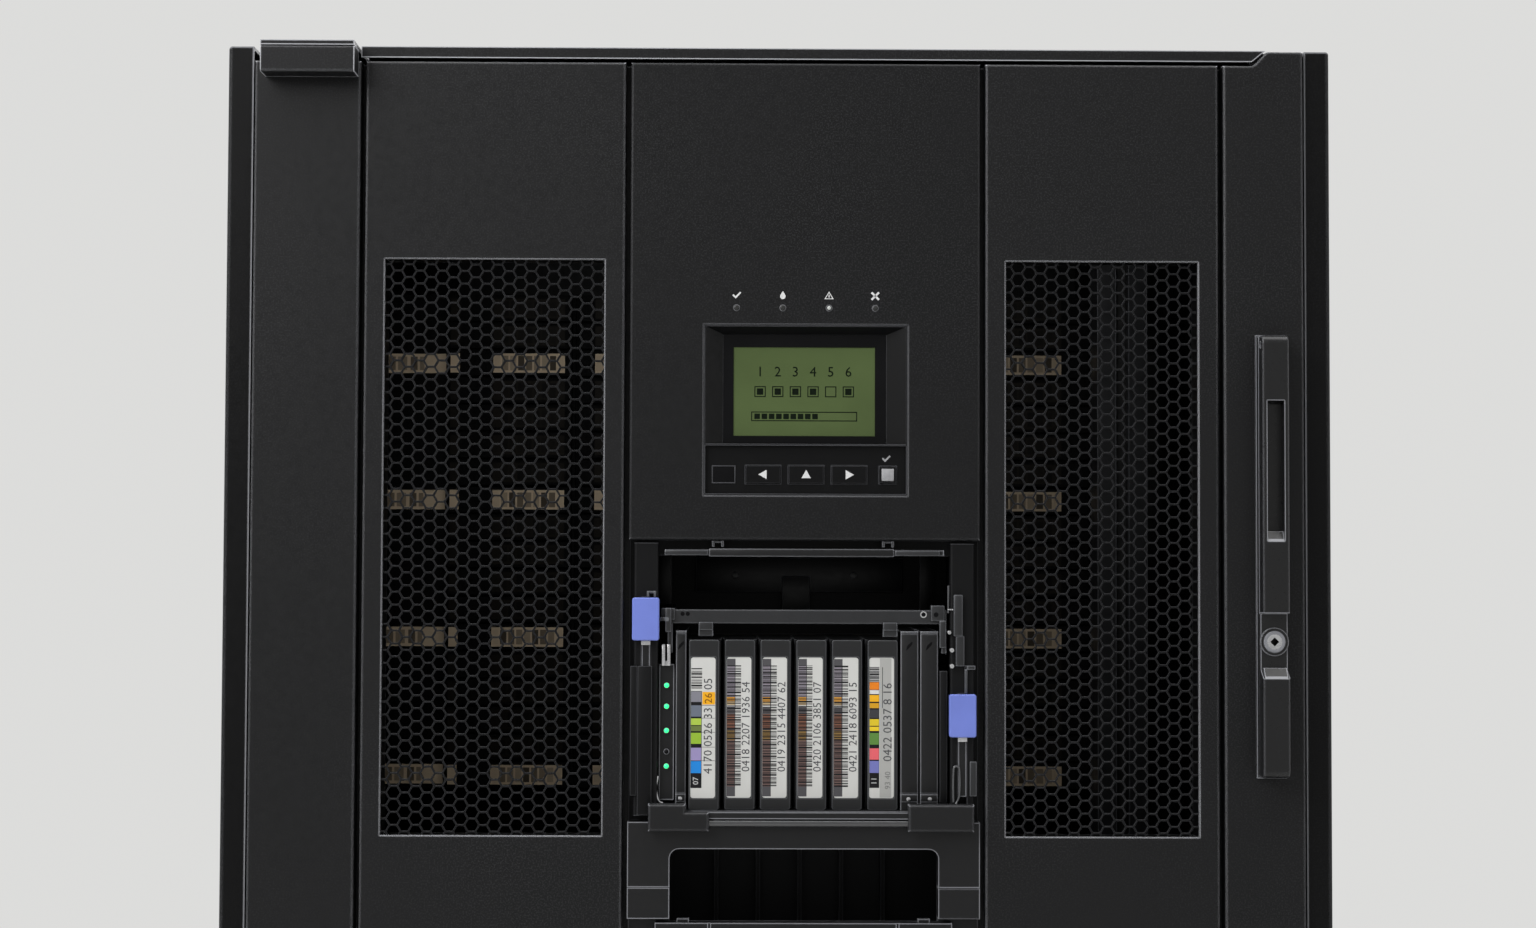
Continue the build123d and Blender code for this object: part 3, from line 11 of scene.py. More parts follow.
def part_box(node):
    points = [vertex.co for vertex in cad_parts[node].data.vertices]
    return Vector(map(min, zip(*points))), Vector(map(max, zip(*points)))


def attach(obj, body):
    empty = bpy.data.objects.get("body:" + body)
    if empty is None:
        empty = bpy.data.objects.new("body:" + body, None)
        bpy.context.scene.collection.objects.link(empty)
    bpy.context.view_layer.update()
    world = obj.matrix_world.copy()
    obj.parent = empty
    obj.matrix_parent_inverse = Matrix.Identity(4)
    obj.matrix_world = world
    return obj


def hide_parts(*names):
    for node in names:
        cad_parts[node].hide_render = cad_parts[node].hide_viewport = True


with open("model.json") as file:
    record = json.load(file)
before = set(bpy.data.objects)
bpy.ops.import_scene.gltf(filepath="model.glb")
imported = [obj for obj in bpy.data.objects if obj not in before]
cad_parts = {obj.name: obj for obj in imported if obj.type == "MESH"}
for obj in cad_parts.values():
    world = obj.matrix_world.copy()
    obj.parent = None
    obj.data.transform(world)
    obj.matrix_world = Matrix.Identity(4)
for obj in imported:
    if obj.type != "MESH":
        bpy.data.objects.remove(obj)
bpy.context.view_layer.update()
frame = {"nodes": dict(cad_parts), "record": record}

bl_info = {
    "name": "Data tape library",
    "version": (1, 0, 0),
    "blender": (4, 5, 0),
    "location": "View3D > Sidebar > Tape library",
    "description": "Dresses the packed frame of a data tape library with its looks",
    "category": "Object",
}

MM = 0.001
DOOR = "front_door"
CABINET = "cabinet"
CARTRIDGES = [f"io_cartridge_{number}" for number in range(1, 7)]
SUPPLIES = ["power_supply_1", "power_supply_2"]
DRIVES = ["tape_drive_1", "tape_drive_2"]
FACE_FRONT = Matrix.Rotation(math.radians(90), 4, "X")
FACE_BACK = Matrix.Rotation(math.radians(180), 4, "Z") @ FACE_FRONT
DOOR_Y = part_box("console_panel")[0].y
LOCK_RADIUS = 5.4 * MM
# Height of a digit as a share of its type size
DIGIT_SHARE = 0.7
SHARP_ANGLE = math.radians(35)


def length(name, description, default):
    """Size in metres that a user may change."""
    return FloatProperty(
        name=name, description=description, default=default, min=0.0, precision=5, unit="LENGTH"
    )


def camera_angle(name, description, default):
    """Angle in radians that a user may change."""
    return FloatProperty(name=name, description=description, default=default, subtype="ANGLE")


def colour(name, description, default):
    """Linear colour that a user may change."""
    return FloatVectorProperty(
        name=name, description=description, default=default, min=0.0, max=1.0, size=3, subtype="COLOR"
    )


class LibraryColours(bpy.types.PropertyGroup):
    paint: colour("Paint", "Charcoal powder coat of the cabinet and door", (0.0066, 0.0067, 0.0071))
    plastic: colour("Plastic", "Black moulded plastic of the bays and handle", (0.0062, 0.0063, 0.0068))
    cartridge: colour("Cartridge", "Shell of a data cartridge", (0.0090, 0.0093, 0.0100))
    bar: colour("Bar", "Satin grey of the retaining bar and linkages", (0.017, 0.0175, 0.019))
    release: colour("Release", "Blue of the release slides", (0.131, 0.175, 0.51))
    screen: colour("Screen", "Lit green of the display", (0.044, 0.062, 0.023))
    screen_ink: colour("Screen ink", "Dark segments of the display", (0.0035, 0.0060, 0.0030))
    lamp: colour("Lamp", "Green of a lit lamp", (0.02, 0.80, 0.20))
    paper: colour("Paper", "White of a cartridge label", (0.54, 0.54, 0.52))
    mark: colour("Mark", "Pale print on keys and console", (0.62, 0.62, 0.62))
    stored: colour("Stored label", "Tan of the labels in the racks", (0.72, 0.58, 0.41))
    steel: colour("Steel", "Machined steel", (0.50, 0.50, 0.51))
    zinc: colour("Zinc", "Zinc plated sheet", (0.42, 0.43, 0.45))
    aluminium: colour("Aluminium", "Anodised aluminium", (0.56, 0.57, 0.59))


class LibrarySizes(bpy.types.PropertyGroup):
    hex_pitch: length("Hexagon pitch", "Distance between neighbouring hexagons of a grille", 8.0 * MM)
    hex_web: length("Hexagon web", "Width of the web between two hexagons", 1.15 * MM)
    hex_edge: length("Hexagon edge", "Chamfer on the front edge of a hexagon", 0.22 * MM)
    print_height: length("Print height", "Thickness of a printed mark", 0.06 * MM)
    label_thickness: length("Label thickness", "Thickness of a cartridge label", 0.3 * MM)
    screw_radius: length("Screw radius", "Radius of a panel screw's head", 3.2 * MM)
    wire_radius: length("Wire radius", "Radius of a bent spring wire", 0.65 * MM)


class LibraryStage(bpy.types.PropertyGroup):
    eye: FloatVectorProperty(
        name="Eye",
        description="Place of the camera",
        default=(-0.0207, -1.9843, 0.7810),
        subtype="TRANSLATION",
    )
    turn: camera_angle("Turn", "Turn of the camera to the right", 0.0091)
    tilt: camera_angle("Tilt", "Tilt of the camera upwards", 0.03776)
    roll: camera_angle("Roll", "Roll of the camera", 0.0036)
    lens: FloatProperty(
        name="Lens", description="Focal length on a 36 mm wide sensor", default=58.59, min=1.0
    )
    floor: colour("Floor", "Pale floor and surroundings", (0.72, 0.72, 0.71))


def settings():
    """Colours and sizes that a user may change."""
    return bpy.context.scene.tape_library_colours, bpy.context.scene.tape_library_sizes


def mm(*lengths):
    """Vector given in millimetres."""
    return Vector(lengths) * MM


def front_of(node):
    """Middle of a node's front face."""
    low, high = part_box(node)
    return Vector(((low.x + high.x) / 2, low.y, (low.z + high.z) / 2))


def lock_axis():
    """Middle of the key lock's face."""
    low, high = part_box("lock_cylinder")
    return Vector(((low.x + high.x) / 2, low.y, low.z + LOCK_RADIUS))


def shifted(points, x, z):
    """Outline in millimetres, moved to a place in X and Z."""
    return [(x + across * MM, z + up * MM) for across, up in points]


def strokes(left, right, low, high, across, up):
    """Sides of a rectangular frame as left, right, low and high; the lower and upper ones run through."""
    return (
        (left, right, low, low + up),
        (left, right, high - up, high),
        (left, left + across, low + up, high - up),
        (right - across, right, low + up, high - up),
    )


def round_edges(bm, edges, offset, segments=2):
    """Round a few edges by the same offset."""
    bmesh.ops.bevel(
        bm,
        geom=edges,
        offset=offset,
        offset_type="OFFSET",
        segments=segments,
        profile=0.5,
        affect="EDGES",
        material=-1,
    )


def add_box(bm, low, high, bevel):
    """Box between two corners with its edges rounded."""
    low, high = Vector(low), Vector(high)
    verts = bmesh.ops.create_cube(bm, size=1.0)["verts"]
    bmesh.ops.scale(bm, vec=high - low, verts=verts)
    bmesh.ops.translate(bm, vec=(low + high) / 2, verts=verts)
    round_edges(bm, list({edge for vert in verts for edge in vert.link_edges}), bevel)


def add_boxes(bm, spot, bevel, *boxes):
    """Rounded boxes, each between two corners given in millimetres from a spot."""
    for low, high in boxes:
        add_box(bm, Vector(spot) + mm(*low), Vector(spot) + mm(*high), bevel)


def add_rod(bm, start, end, radius, segments=24, bevel=0.0):
    """Round bar between two points, with its rims rounded."""
    start, end = Vector(start), Vector(end)
    turn = (end - start).to_track_quat("Z", "Y").to_matrix().to_4x4()
    made = bmesh.ops.create_cone(
        bm,
        cap_ends=True,
        segments=segments,
        radius1=radius,
        radius2=radius,
        depth=(end - start).length,
        matrix=Matrix.Translation((start + end) / 2) @ turn,
    )
    if bevel:
        caps = {face for vert in made["verts"] for face in vert.link_faces if len(face.verts) > 4}
        round_edges(bm, list({edge for face in caps for edge in face.edges}), bevel)


def add_stud(bm, x, z, start, end, radius, segments=24, bevel=0.0):
    """Round bar along Y."""
    add_rod(bm, (x, start, z), (x, end, z), radius, segments, bevel)


def add_lens(bm, centre, radius, height):
    """Domed lens that faces the front."""
    shape = Matrix.Translation(centre) @ Matrix.Diagonal((radius, height, radius, 1.0))
    bmesh.ops.create_uvsphere(bm, u_segments=20, v_segments=12, radius=1.0, matrix=shape)


def add_ring(bm, centre, inner, outer, height):
    """Flat ring that faces the front, with its rims chamfered."""
    x, y, z = centre
    edge = min(height, outer - inner) / 4
    profile = [
        (inner, 0.0),
        (inner, edge - height),
        (inner + edge, -height),
        (outer - edge, -height),
        (outer, edge - height),
        (outer, 0.0),
    ]
    verts = [bm.verts.new((x + radius, y + depth, z)) for radius, depth in profile]
    edges = [bm.edges.new(pair) for pair in zip(verts, verts[1:] + verts[:1])]
    bmesh.ops.spin(
        bm,
        geom=verts + edges,
        cent=centre,
        axis=(0.0, 1.0, 0.0),
        angle=math.tau,
        steps=48,
        use_merge=True,
        use_duplicate=False,
    )


def add_plate(bm, points, y, thickness):
    """Thin plate of any outline, given in X and Z, whose face is at y and which runs backwards."""
    face = bm.faces.new([bm.verts.new((x, y, z)) for x, z in points])
    grown = bmesh.ops.extrude_face_region(bm, geom=[face], use_keep_orig=True)["geom"]
    moved = [item for item in grown if isinstance(item, bmesh.types.BMVert)]
    bmesh.ops.translate(bm, vec=(0.0, thickness, 0.0), verts=moved)


def add_print(bm, points, face):
    """Printed mark of any outline, given in X and Z, that stands on a front face at y."""
    _, sizes = settings()
    add_plate(bm, points, face - sizes.print_height, sizes.print_height)


def print_faces(faces, ink, tint):
    """Colour faces through the piece's own attribute."""
    for face in faces:
        for loop in face.loops:
            loop[ink] = (*tint, 1.0)


def print_field(bm, ink, left, right, low, high, y, tint):
    """Flat coloured field that faces the front."""
    place = Matrix.Translation(((left + right) / 2, y, (low + high) / 2)) @ FACE_FRONT
    shape = place @ Matrix.Diagonal((right - left, high - low, 1.0, 1.0))
    verts = bmesh.ops.create_grid(bm, x_segments=1, y_segments=1, size=0.5, matrix=shape)["verts"]
    print_faces({face for vert in verts for face in vert.link_faces}, ink, tint)


def rounded(low_x, high_x, low_z, high_z, radius, steps=4):
    """Outline of a rectangle with round corners, in X and Z."""
    points = []
    corners = (
        (high_x - radius, high_z - radius, 0),
        (low_x + radius, high_z - radius, 90),
        (low_x + radius, low_z + radius, 180),
        (high_x - radius, low_z + radius, 270),
    )
    for centre_x, centre_z, first in corners:
        for step in range(steps + 1):
            angle = math.radians(first + 90 * step / steps)
            points.append((centre_x + radius * math.cos(angle), centre_z + radius * math.sin(angle)))
    return points


def add_wire(bm, points, y):
    """Bent round wire along a smooth line through a few points in X and Z."""
    _, sizes = settings()
    curve = bpy.data.curves.new("wire", "CURVE")
    curve.dimensions = "3D"
    curve.bevel_depth = sizes.wire_radius
    curve.bevel_resolution = 2
    curve.use_fill_caps = True
    spline = curve.splines.new("NURBS")
    spline.points.add(len(points) - 1)
    for spot, (x, z) in zip(spline.points, points):
        spot.co = (x, y, z, 1.0)
    spline.order_u = 3
    spline.use_endpoint_u = True
    add_converted(bm, curve, Matrix.Identity(4))


def add_digits(bm, words, height, place, thickness):
    """Plain digits as a thin solid; place turns the sketch plane and moves it."""
    curve = bpy.data.curves.new("digits", "FONT")
    curve.body = words
    curve.size = height / DIGIT_SHARE
    curve.align_x = "CENTER"
    curve.align_y = "CENTER"
    curve.extrude = thickness / 2
    curve.resolution_u = 2
    add_converted(bm, curve, place)


def add_converted(bm, curve, place):
    """Add a curve's solid to the mesh that is being made."""
    holder = bpy.data.objects.new("holder", curve)
    mesh = bpy.data.meshes.new_from_object(holder)
    mesh.transform(place)
    bm.from_mesh(mesh)
    bpy.data.objects.remove(holder)
    bpy.data.meshes.remove(mesh)
    bpy.data.curves.remove(curve)


def put(name, bm, material, body=DOOR, close=True):
    """Turn a finished bmesh into a piece that rides on a body, with the given finish as its material."""
    if close:
        bmesh.ops.recalc_face_normals(bm, faces=bm.faces)
    mesh = bpy.data.meshes.new(name)
    bm.to_mesh(mesh)
    bm.free()
    mesh.materials.append(Finish.made[material])
    mesh.polygons.foreach_set("use_smooth", [True] * len(mesh.polygons))
    mesh.set_sharp_from_angle(angle=SHARP_ANGLE)
    piece = bpy.data.objects.new(name, mesh)
    bpy.context.scene.collection.objects.link(piece)
    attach(piece, body)
    return piece


class Finish:
    """Procedural material on Object coordinates: colour, roughness and relief come from noise."""

    made = {}
    # Range of a noise or shade value that is stretched over a whole change of colour or roughness
    MOTTLE_RANGE = (0.35, 0.7)
    EDGE_RANGE = (0.97, 0.78)
    GLOSS_RANGE = (0.3, 0.7)
    CELL_RANGE = (0.1, 0.9)
    EDGE_SAMPLES = 8

    def __init__(self, name, base, roughness, metallic=0.0, specular=0.5):
        self.material = bpy.data.materials.new(f"library_{name}")
        self.made[name] = self.material
        self.material.use_nodes = True
        self.tree = self.material.node_tree
        self.shader = self.tree.nodes["Principled BSDF"]
        self.shader.inputs["Base Color"].default_value = (*base, 1.0)
        self.shader.inputs["Roughness"].default_value = roughness
        self.shader.inputs["Metallic"].default_value = metallic
        self.shader.inputs["Specular IOR Level"].default_value = specular
        self.base = Vector(base)
        self.roughness = roughness

    def link(self, output, target):
        """Join an output socket to an input socket."""
        self.tree.links.new(output, target)

    def noise(self, scale, detail=2.0, stretch=(1.0, 1.0, 1.0), kind="ShaderNodeTexNoise"):
        """Noise or cells at a scale per metre, stretched along an axis where wanted."""
        coords = self.tree.nodes.new("ShaderNodeTexCoord")
        mapping = self.tree.nodes.new("ShaderNodeMapping")
        mapping.inputs["Scale"].default_value = stretch
        self.link(coords.outputs["Object"], mapping.inputs["Vector"])
        texture = self.tree.nodes.new(kind)
        texture.inputs["Scale"].default_value = scale
        if kind == "ShaderNodeTexNoise":
            texture.inputs["Detail"].default_value = detail
        self.link(mapping.outputs["Vector"], texture.inputs["Vector"])
        return texture.outputs[0]

    def spread(self, value, low, high, into_low=0.0, into_high=1.0):
        """Stretch a noise value between two limits."""
        node = self.tree.nodes.new("ShaderNodeMapRange")
        node.inputs["From Min"].default_value = low
        node.inputs["From Max"].default_value = high
        node.inputs["To Min"].default_value = into_low
        node.inputs["To Max"].default_value = into_high
        self.link(value, node.inputs["Value"])
        return node.outputs["Result"]

    def tint(self, factor, other):
        """Mix another colour over the present one by a factor."""
        mix = self.tree.nodes.new("ShaderNodeMix")
        mix.data_type = "RGBA"
        target = self.shader.inputs["Base Color"]
        if target.is_linked:
            self.link(target.links[0].from_socket, mix.inputs["A"])
        else:
            mix.inputs["A"].default_value = target.default_value
        mix.inputs["B"].default_value = (*other, 1.0)
        self.link(factor, mix.inputs["Factor"])
        self.link(mix.outputs["Result"], target)
        return self

    def flecks(self, scale, low, high, lift):
        """Fine flecks that are lighter or darker than the base."""
        return self.tint(self.spread(self.noise(scale, 1.0), low, high), self.base * lift)

    def mottle(self, scale, lift):
        """Broad, faint variation of the colour."""
        return self.tint(self.spread(self.noise(scale, 3.0), *self.MOTTLE_RANGE), self.base * lift)

    def rubbed(self, reach, lift):
        """Painted highlight: the finish made lighter along the outer edges, where light would catch them.
        """
        edge = self.tree.nodes.new("ShaderNodeAmbientOcclusion")
        edge.inside = True
        edge.only_local = True
        edge.samples = self.EDGE_SAMPLES
        edge.inputs["Distance"].default_value = reach
        return self.tint(self.spread(edge.outputs["AO"], *self.EDGE_RANGE), self.base * lift)

    def gloss(self, scale, swing, stretch=(1.0, 1.0, 1.0)):
        """Roughness that varies over the surface."""
        value = self.noise(scale, 3.0, stretch)
        low, high = self.roughness - swing, self.roughness + swing
        self.link(self.spread(value, *self.GLOSS_RANGE, low, high), self.shader.inputs["Roughness"])
        return self

    def relief(self, scale, distance, strength=0.6, stretch=(1.0, 1.0, 1.0)):
        """Fine bumps."""
        bump = self.tree.nodes.new("ShaderNodeBump")
        bump.inputs["Strength"].default_value = strength
        bump.inputs["Distance"].default_value = distance
        self.link(self.noise(scale, 2.0, stretch), bump.inputs["Height"])
        self.link(bump.outputs["Normal"], self.shader.inputs["Normal"])
        return self

    def cells(self, scale, lift):
        """Crystal pattern of plated sheet."""
        value = self.noise(scale, kind="ShaderNodeTexVoronoi")
        return self.tint(self.spread(value, *self.CELL_RANGE), self.base * lift)

    def glow(self, light, strength):
        """Own light."""
        self.shader.inputs["Emission Color"].default_value = (*light, 1.0)
        self.shader.inputs["Emission Strength"].default_value = strength
        return self

    def coat(self, amount, roughness):
        """Clear layer on top."""
        self.shader.inputs["Coat Weight"].default_value = amount
        self.shader.inputs["Coat Roughness"].default_value = roughness
        return self

    def printed(self, attribute):
        """Colour from the piece's own colour attribute."""
        node = self.tree.nodes.new("ShaderNodeVertexColor")
        node.layer_name = attribute
        self.link(node.outputs["Color"], self.shader.inputs["Base Color"])
        return self


class TAPELIBRARY_OT_finishes(bpy.types.Operator):
    """Make every finish and give each CAD node its own"""

    bl_idname = "tape_library.finishes"
    bl_label = "Finishes"

    # Painted sheet: share of the paint's colour, specular level, reach of the painted edge highlight in mm
    # and its lift
    PAINTS = (
        ("charcoal_paint", 0.92, 0.15, 0.8, 56.0),
        ("console_paint", 0.85, 0.13, 0.7, 26.0),
        ("side_paint", 0.36, 0.09, 1.3, 80.0),
    )
    # Moulded plastic: share of the plastic's colour, roughness, specular level, lift of the flecks,
    # reach of the painted edge highlight in mm and its lift, swing of the roughness, grains per metre
    PLASTICS = (
        ("black_plastic", 1.0, 0.40, 0.22, 1.7, 0.8, 30.0, 0.06, 2600.0),
        ("handle_plastic", 0.8, 0.32, 0.30, 1.7, 0.7, 44.0, 0.06, 2600.0),
        ("console_plastic", 0.5, 0.38, 0.10, 1.7, 0.4, 26.0, 0.06, 2600.0),
        ("bay_plastic", 0.7, 0.45, 0.10, 1.6, 0.6, 12.0, 0.0, 2400.0),
        # Painted light: the lower bay's plastic, over twice as light as the rest, stands in for light that
        # doesn't reach into the bay
        ("lower_bay_painted_light", 2.2, 0.50, 0.20, 1.5, 1.0, 6.0, 0.0, 2400.0),
    )
    TAB_DEPTH = 4.9 * MM
    KEYHOLE_RADIUS = 3.0 * MM

    def execute(self, context):
        tones, _ = settings()
        self.coats(Vector(tones.paint), Vector(tones.plastic), Vector(tones.bar))
        self.console_and_labels(tones)
        self.metals(tones)
        for entry in frame["record"]["subparts"]:
            node = frame["nodes"][entry["node"]]
            finish = Finish.made[FINISH_OF.get(entry["node"], entry["material_slot"])]
            node.data.materials.clear()
            node.data.materials.append(finish)
        self.repaint_parts()
        return {"FINISHED"}

    def coats(self, paint, plastic, bar):
        """Painted sheet, moulded plastic and satin bars, most with painted highlights along their edges."""
        for name, share, specular, reach, lift in self.PAINTS:
            finish = Finish(name, paint * share, 0.42, specular=specular).flecks(1000.0, 0.5, 0.64, 3.2)
            # Painted highlight along the edges of the sheet
            finish.mottle(5.0, 1.3).rubbed(reach * MM, lift).gloss(260.0, 0.07)
            finish.relief(1000.0, 0.03 * MM, 0.6)
        for name, share, roughness, specular, fleck, reach, lift, swing, grain in self.PLASTICS:
            finish = Finish(name, plastic * share, roughness, specular=specular)
            # Painted highlight along the edges of the plastic
            finish.flecks(2600.0, 0.58, 0.75, fleck).rubbed(reach * MM, lift).relief(grain, 0.03 * MM, 0.4)
            if swing:
                finish.gloss(300.0, swing)
        finish = Finish("inner_paint", paint * 0.4, 0.6, specular=0.05)
        finish.flecks(820.0, 0.5, 0.64, 3.0).relief(1000.0, 0.03 * MM, 0.6)
        finish = Finish("grille_black", plastic * 0.45, 0.36, specular=0.1)
        # Painted highlight along the edges of the hexagon webs
        finish.mottle(60.0, 1.6).rubbed(0.3 * MM, 16.0).relief(2200.0, 0.03 * MM)
        finish = Finish("picker_plastic", (0.028, 0.028, 0.031), 0.45)
        finish.flecks(2200.0, 0.55, 0.75, 1.6).relief(2200.0, 0.03 * MM, 0.4)
        finish = Finish("rubber", (0.012, 0.012, 0.012), 0.75, specular=0.3)
        finish.mottle(200.0, 1.6).relief(1400.0, 0.06 * MM)
        finish = Finish("rail_satin", bar, 0.24, specular=0.9)
        # Painted highlight along the edges of the rail
        finish.mottle(300.0, 1.4).rubbed(0.8 * MM, 3.0).relief(1800.0, 0.02 * MM, 0.3)
        finish = Finish("bar_grey", bar * 0.85, 0.38, specular=0.3).flecks(1800.0, 0.55, 0.75, 1.5)
        # Painted highlight along the edges of the bar
        finish.rubbed(0.8 * MM, 8.0).gloss(90.0, 0.08).relief(1500.0, 0.03 * MM, 0.4)

    def console_and_labels(self, tones):
        """Display, lamps, marks, labels, release slides and cartridges."""
        finish = Finish("cartridge_shell", tones.cartridge, 0.36, specular=0.3)
        # Painted highlight along the edges of the shell
        finish.flecks(3000.0, 0.55, 0.75, 1.6).rubbed(0.8 * MM, 7.0).gloss(220.0, 0.05)
        finish.relief(3000.0, 0.02 * MM, 0.5)
        # Gloss black of the blank window and the dark lamp, also painted shade in the keyhole, holes, port
        # mouths, vents and notches
        Finish("display_black", (0.003, 0.003, 0.0034), 0.12, specular=0.08).mottle(30.0, 1.5)
        finish = Finish("lcd_green", tones.screen, 0.30, specular=0.12).mottle(18.0, 1.35)
        finish.relief(2800.0, 0.01 * MM, 0.3).glow(tones.screen, 0.35)
        Finish("screen_ink", tones.screen_ink, 0.4, specular=0.05).mottle(400.0, 1.5)
        Finish("board_green", (0.015, 0.075, 0.035), 0.38).mottle(120.0, 1.5).relief(900.0, 0.03 * MM)
        Finish("lamp_lens", (0.020, 0.0205, 0.020), 0.22, specular=0.25).mottle(700.0, 1.4)
        Finish("lamp_lit", tones.lamp, 0.25).mottle(900.0, 1.2).glow(tones.lamp, 1.6)
        Finish("lamp_white", (0.35, 0.36, 0.35), 0.25).mottle(900.0, 1.1).glow((0.8, 0.85, 0.8), 0.12)
        finish = Finish("release_blue", tones.release, 0.34, specular=0.5).mottle(40.0, 1.12)
        finish.gloss(120.0, 0.05).relief(2400.0, 0.02 * MM, 0.4)
        Finish("pale_mark", tones.mark, 0.5).mottle(900.0, 0.85)
        Finish("key_insert", (0.30, 0.30, 0.31), 0.42).mottle(500.0, 0.85).relief(2000.0, 0.03 * MM)
        Finish("label_print", tones.paper, 0.5, specular=0.1).printed("ink").relief(1800.0, 0.01 * MM, 0.5)
        Finish("scanner_red", (0.20, 0.004, 0.006), 0.12).mottle(200.0, 0.7).coat(0.6, 0.05)

    def metals(self, tones):
        """Steel, zinc, aluminium and brass."""
        finish = Finish("steel", tones.steel, 0.30, metallic=1.0).mottle(90.0, 0.8)
        finish.gloss(400.0, 0.08, (1.0, 1.0, 8.0)).relief(1200.0, 0.01 * MM, 0.4, (1.0, 1.0, 10.0))
        finish = Finish("zinc_sheet", tones.zinc, 0.38, metallic=1.0).cells(70.0, 0.78)
        finish.gloss(60.0, 0.10).relief(500.0, 0.02 * MM, 0.3)
        finish = Finish("aluminium", tones.aluminium, 0.36, metallic=1.0).mottle(30.0, 0.85)
        finish.gloss(500.0, 0.08, (1.0, 1.0, 0.05)).relief(1500.0, 0.02 * MM, 0.4, (1.0, 1.0, 0.04))
        Finish("brass", (0.55, 0.40, 0.16), 0.3, metallic=1.0).mottle(300.0, 0.75)

    def repaint_parts(self):
        """Black stems of the slides, painted shade in the keyhole and the satin front rail of the magazine.
        """
        for name in ("left_release", "right_release"):
            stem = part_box(name)[0].y + self.TAB_DEPTH
            self.repaint(name, "black_plastic", lambda spot: spot.y > stem)
        axis = lock_axis()

        def in_keyhole(spot):
            away = Vector((spot.x - axis.x, spot.z - axis.z))
            return spot.y > axis.y + 0.3 * MM and away.length < self.KEYHOLE_RADIUS

        # The keyhole's faces get painted shade.
        self.repaint("lock_cylinder", "display_black", in_keyhole)
        low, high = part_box("io_magazine")

        def on_rail(spot):
            inside = low.x + 37.5 * MM < spot.x < high.x - 40.7 * MM
            return inside and 2.2 * MM < spot.z - low.z < 7.2 * MM

        self.repaint("io_magazine", "rail_satin", on_rail)

    def repaint(self, node, finish, chosen):
        """Give the faces of a CAD node that are chosen by their place another finish."""
        mesh = frame["nodes"][node].data
        mesh.materials.append(Finish.made[finish])
        for polygon in mesh.polygons:
            if chosen(polygon.center):
                polygon.material_index = len(mesh.materials) - 1


# Nodes whose finish isn't the one of their slot
NODES_WITH = {
    "charcoal_paint": ("door_frame",),
    "side_paint": ("left_side_panel", "right_side_panel"),
    "inner_paint": ("storage_racks", "stored_cartridges", "corner_posts"),
    "console_paint": ("console_panel",),
    "console_plastic": ("console_bezel", "key_left", "key_up", "key_right", "key_select"),
    "handle_plastic": ("handle_lever", "handle_base"),
    "bay_plastic": ("io_housing", "left_guide_post", "right_guide_post"),
    # Lower bay gets its lightened plastic as painted light
    "lower_bay_painted_light": ("lower_bay",),
    "bar_grey": ("picker_column",),
    "zinc_sheet": ("levelling_feet",),
}
FINISH_OF = {node: finish for finish, nodes in NODES_WITH.items() for node in nodes}


class TAPELIBRARY_OT_grilles(bpy.types.Operator):
    """Honeycomb sheets at their true pitch, in place of the coarse CAD ones"""

    bl_idname = "tape_library.grilles"
    bl_label = "Honeycomb grilles"

    def execute(self, context):
        for node in ("left_grille", "right_grille"):
            bm = self.honeycomb(*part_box(node))
            piece = put(f"{node}_honeycomb", bm, "grille_black", DOOR)
            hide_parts(node)
        return {"FINISHED"}

    def honeycomb(self, low, high):
        """Sheet of hexagons, flat side up, cut to the box."""
        _, sizes = settings()
        pitch = sizes.hex_pitch
        column_pitch = pitch * math.sqrt(3) / 2
        columns = math.ceil((high.x - low.x) / column_pitch) + 1
        rows = math.ceil((high.z - low.z) / pitch) + 1
        bm = bmesh.new()
        turn = FACE_FRONT @ Matrix.Rotation(math.radians(30), 4, "Z")
        for column in range(columns):
            for row in range(rows):
                place = (low.x + column * column_pitch, low.y, low.z + (row + column % 2 / 2) * pitch)
                bmesh.ops.create_circle(
                    bm,
                    cap_ends=True,
                    radius=pitch / math.sqrt(3),
                    segments=6,
                    matrix=Matrix.Translation(place) @ turn,
                )
        bmesh.ops.remove_doubles(bm, verts=bm.verts, dist=pitch / 50)
        hexagons = list(bm.faces)
        bmesh.ops.inset_individual(bm, faces=hexagons, thickness=sizes.hex_web / 2, use_even_offset=True)
        bmesh.ops.delete(bm, geom=hexagons, context="FACES")
        for point, outward in ((low, (-1, 0, 0)), (high, (1, 0, 0)), (low, (0, 0, -1)), (high, (0, 0, 1))):
            geometry = bm.verts[:] + bm.edges[:] + bm.faces[:]
            bmesh.ops.bisect_plane(bm, geom=geometry, plane_co=point, plane_no=outward, clear_outer=True)
        for face in bm.faces:
            if face.normal.y > 0:
                face.normal_flip()
        bmesh.ops.solidify(bm, geom=bm.faces[:], thickness=high.y - low.y)
        front = min(vert.co.y for vert in bm.verts) + sizes.hex_edge / 2
        rims = [
            edge
            for edge in bm.edges
            if all(vert.co.y < front for vert in edge.verts)
            and any(abs(face.normal.y) < 0.5 for face in edge.link_faces)
        ]
        round_edges(bm, rims, sizes.hex_edge, segments=1)
        return bm


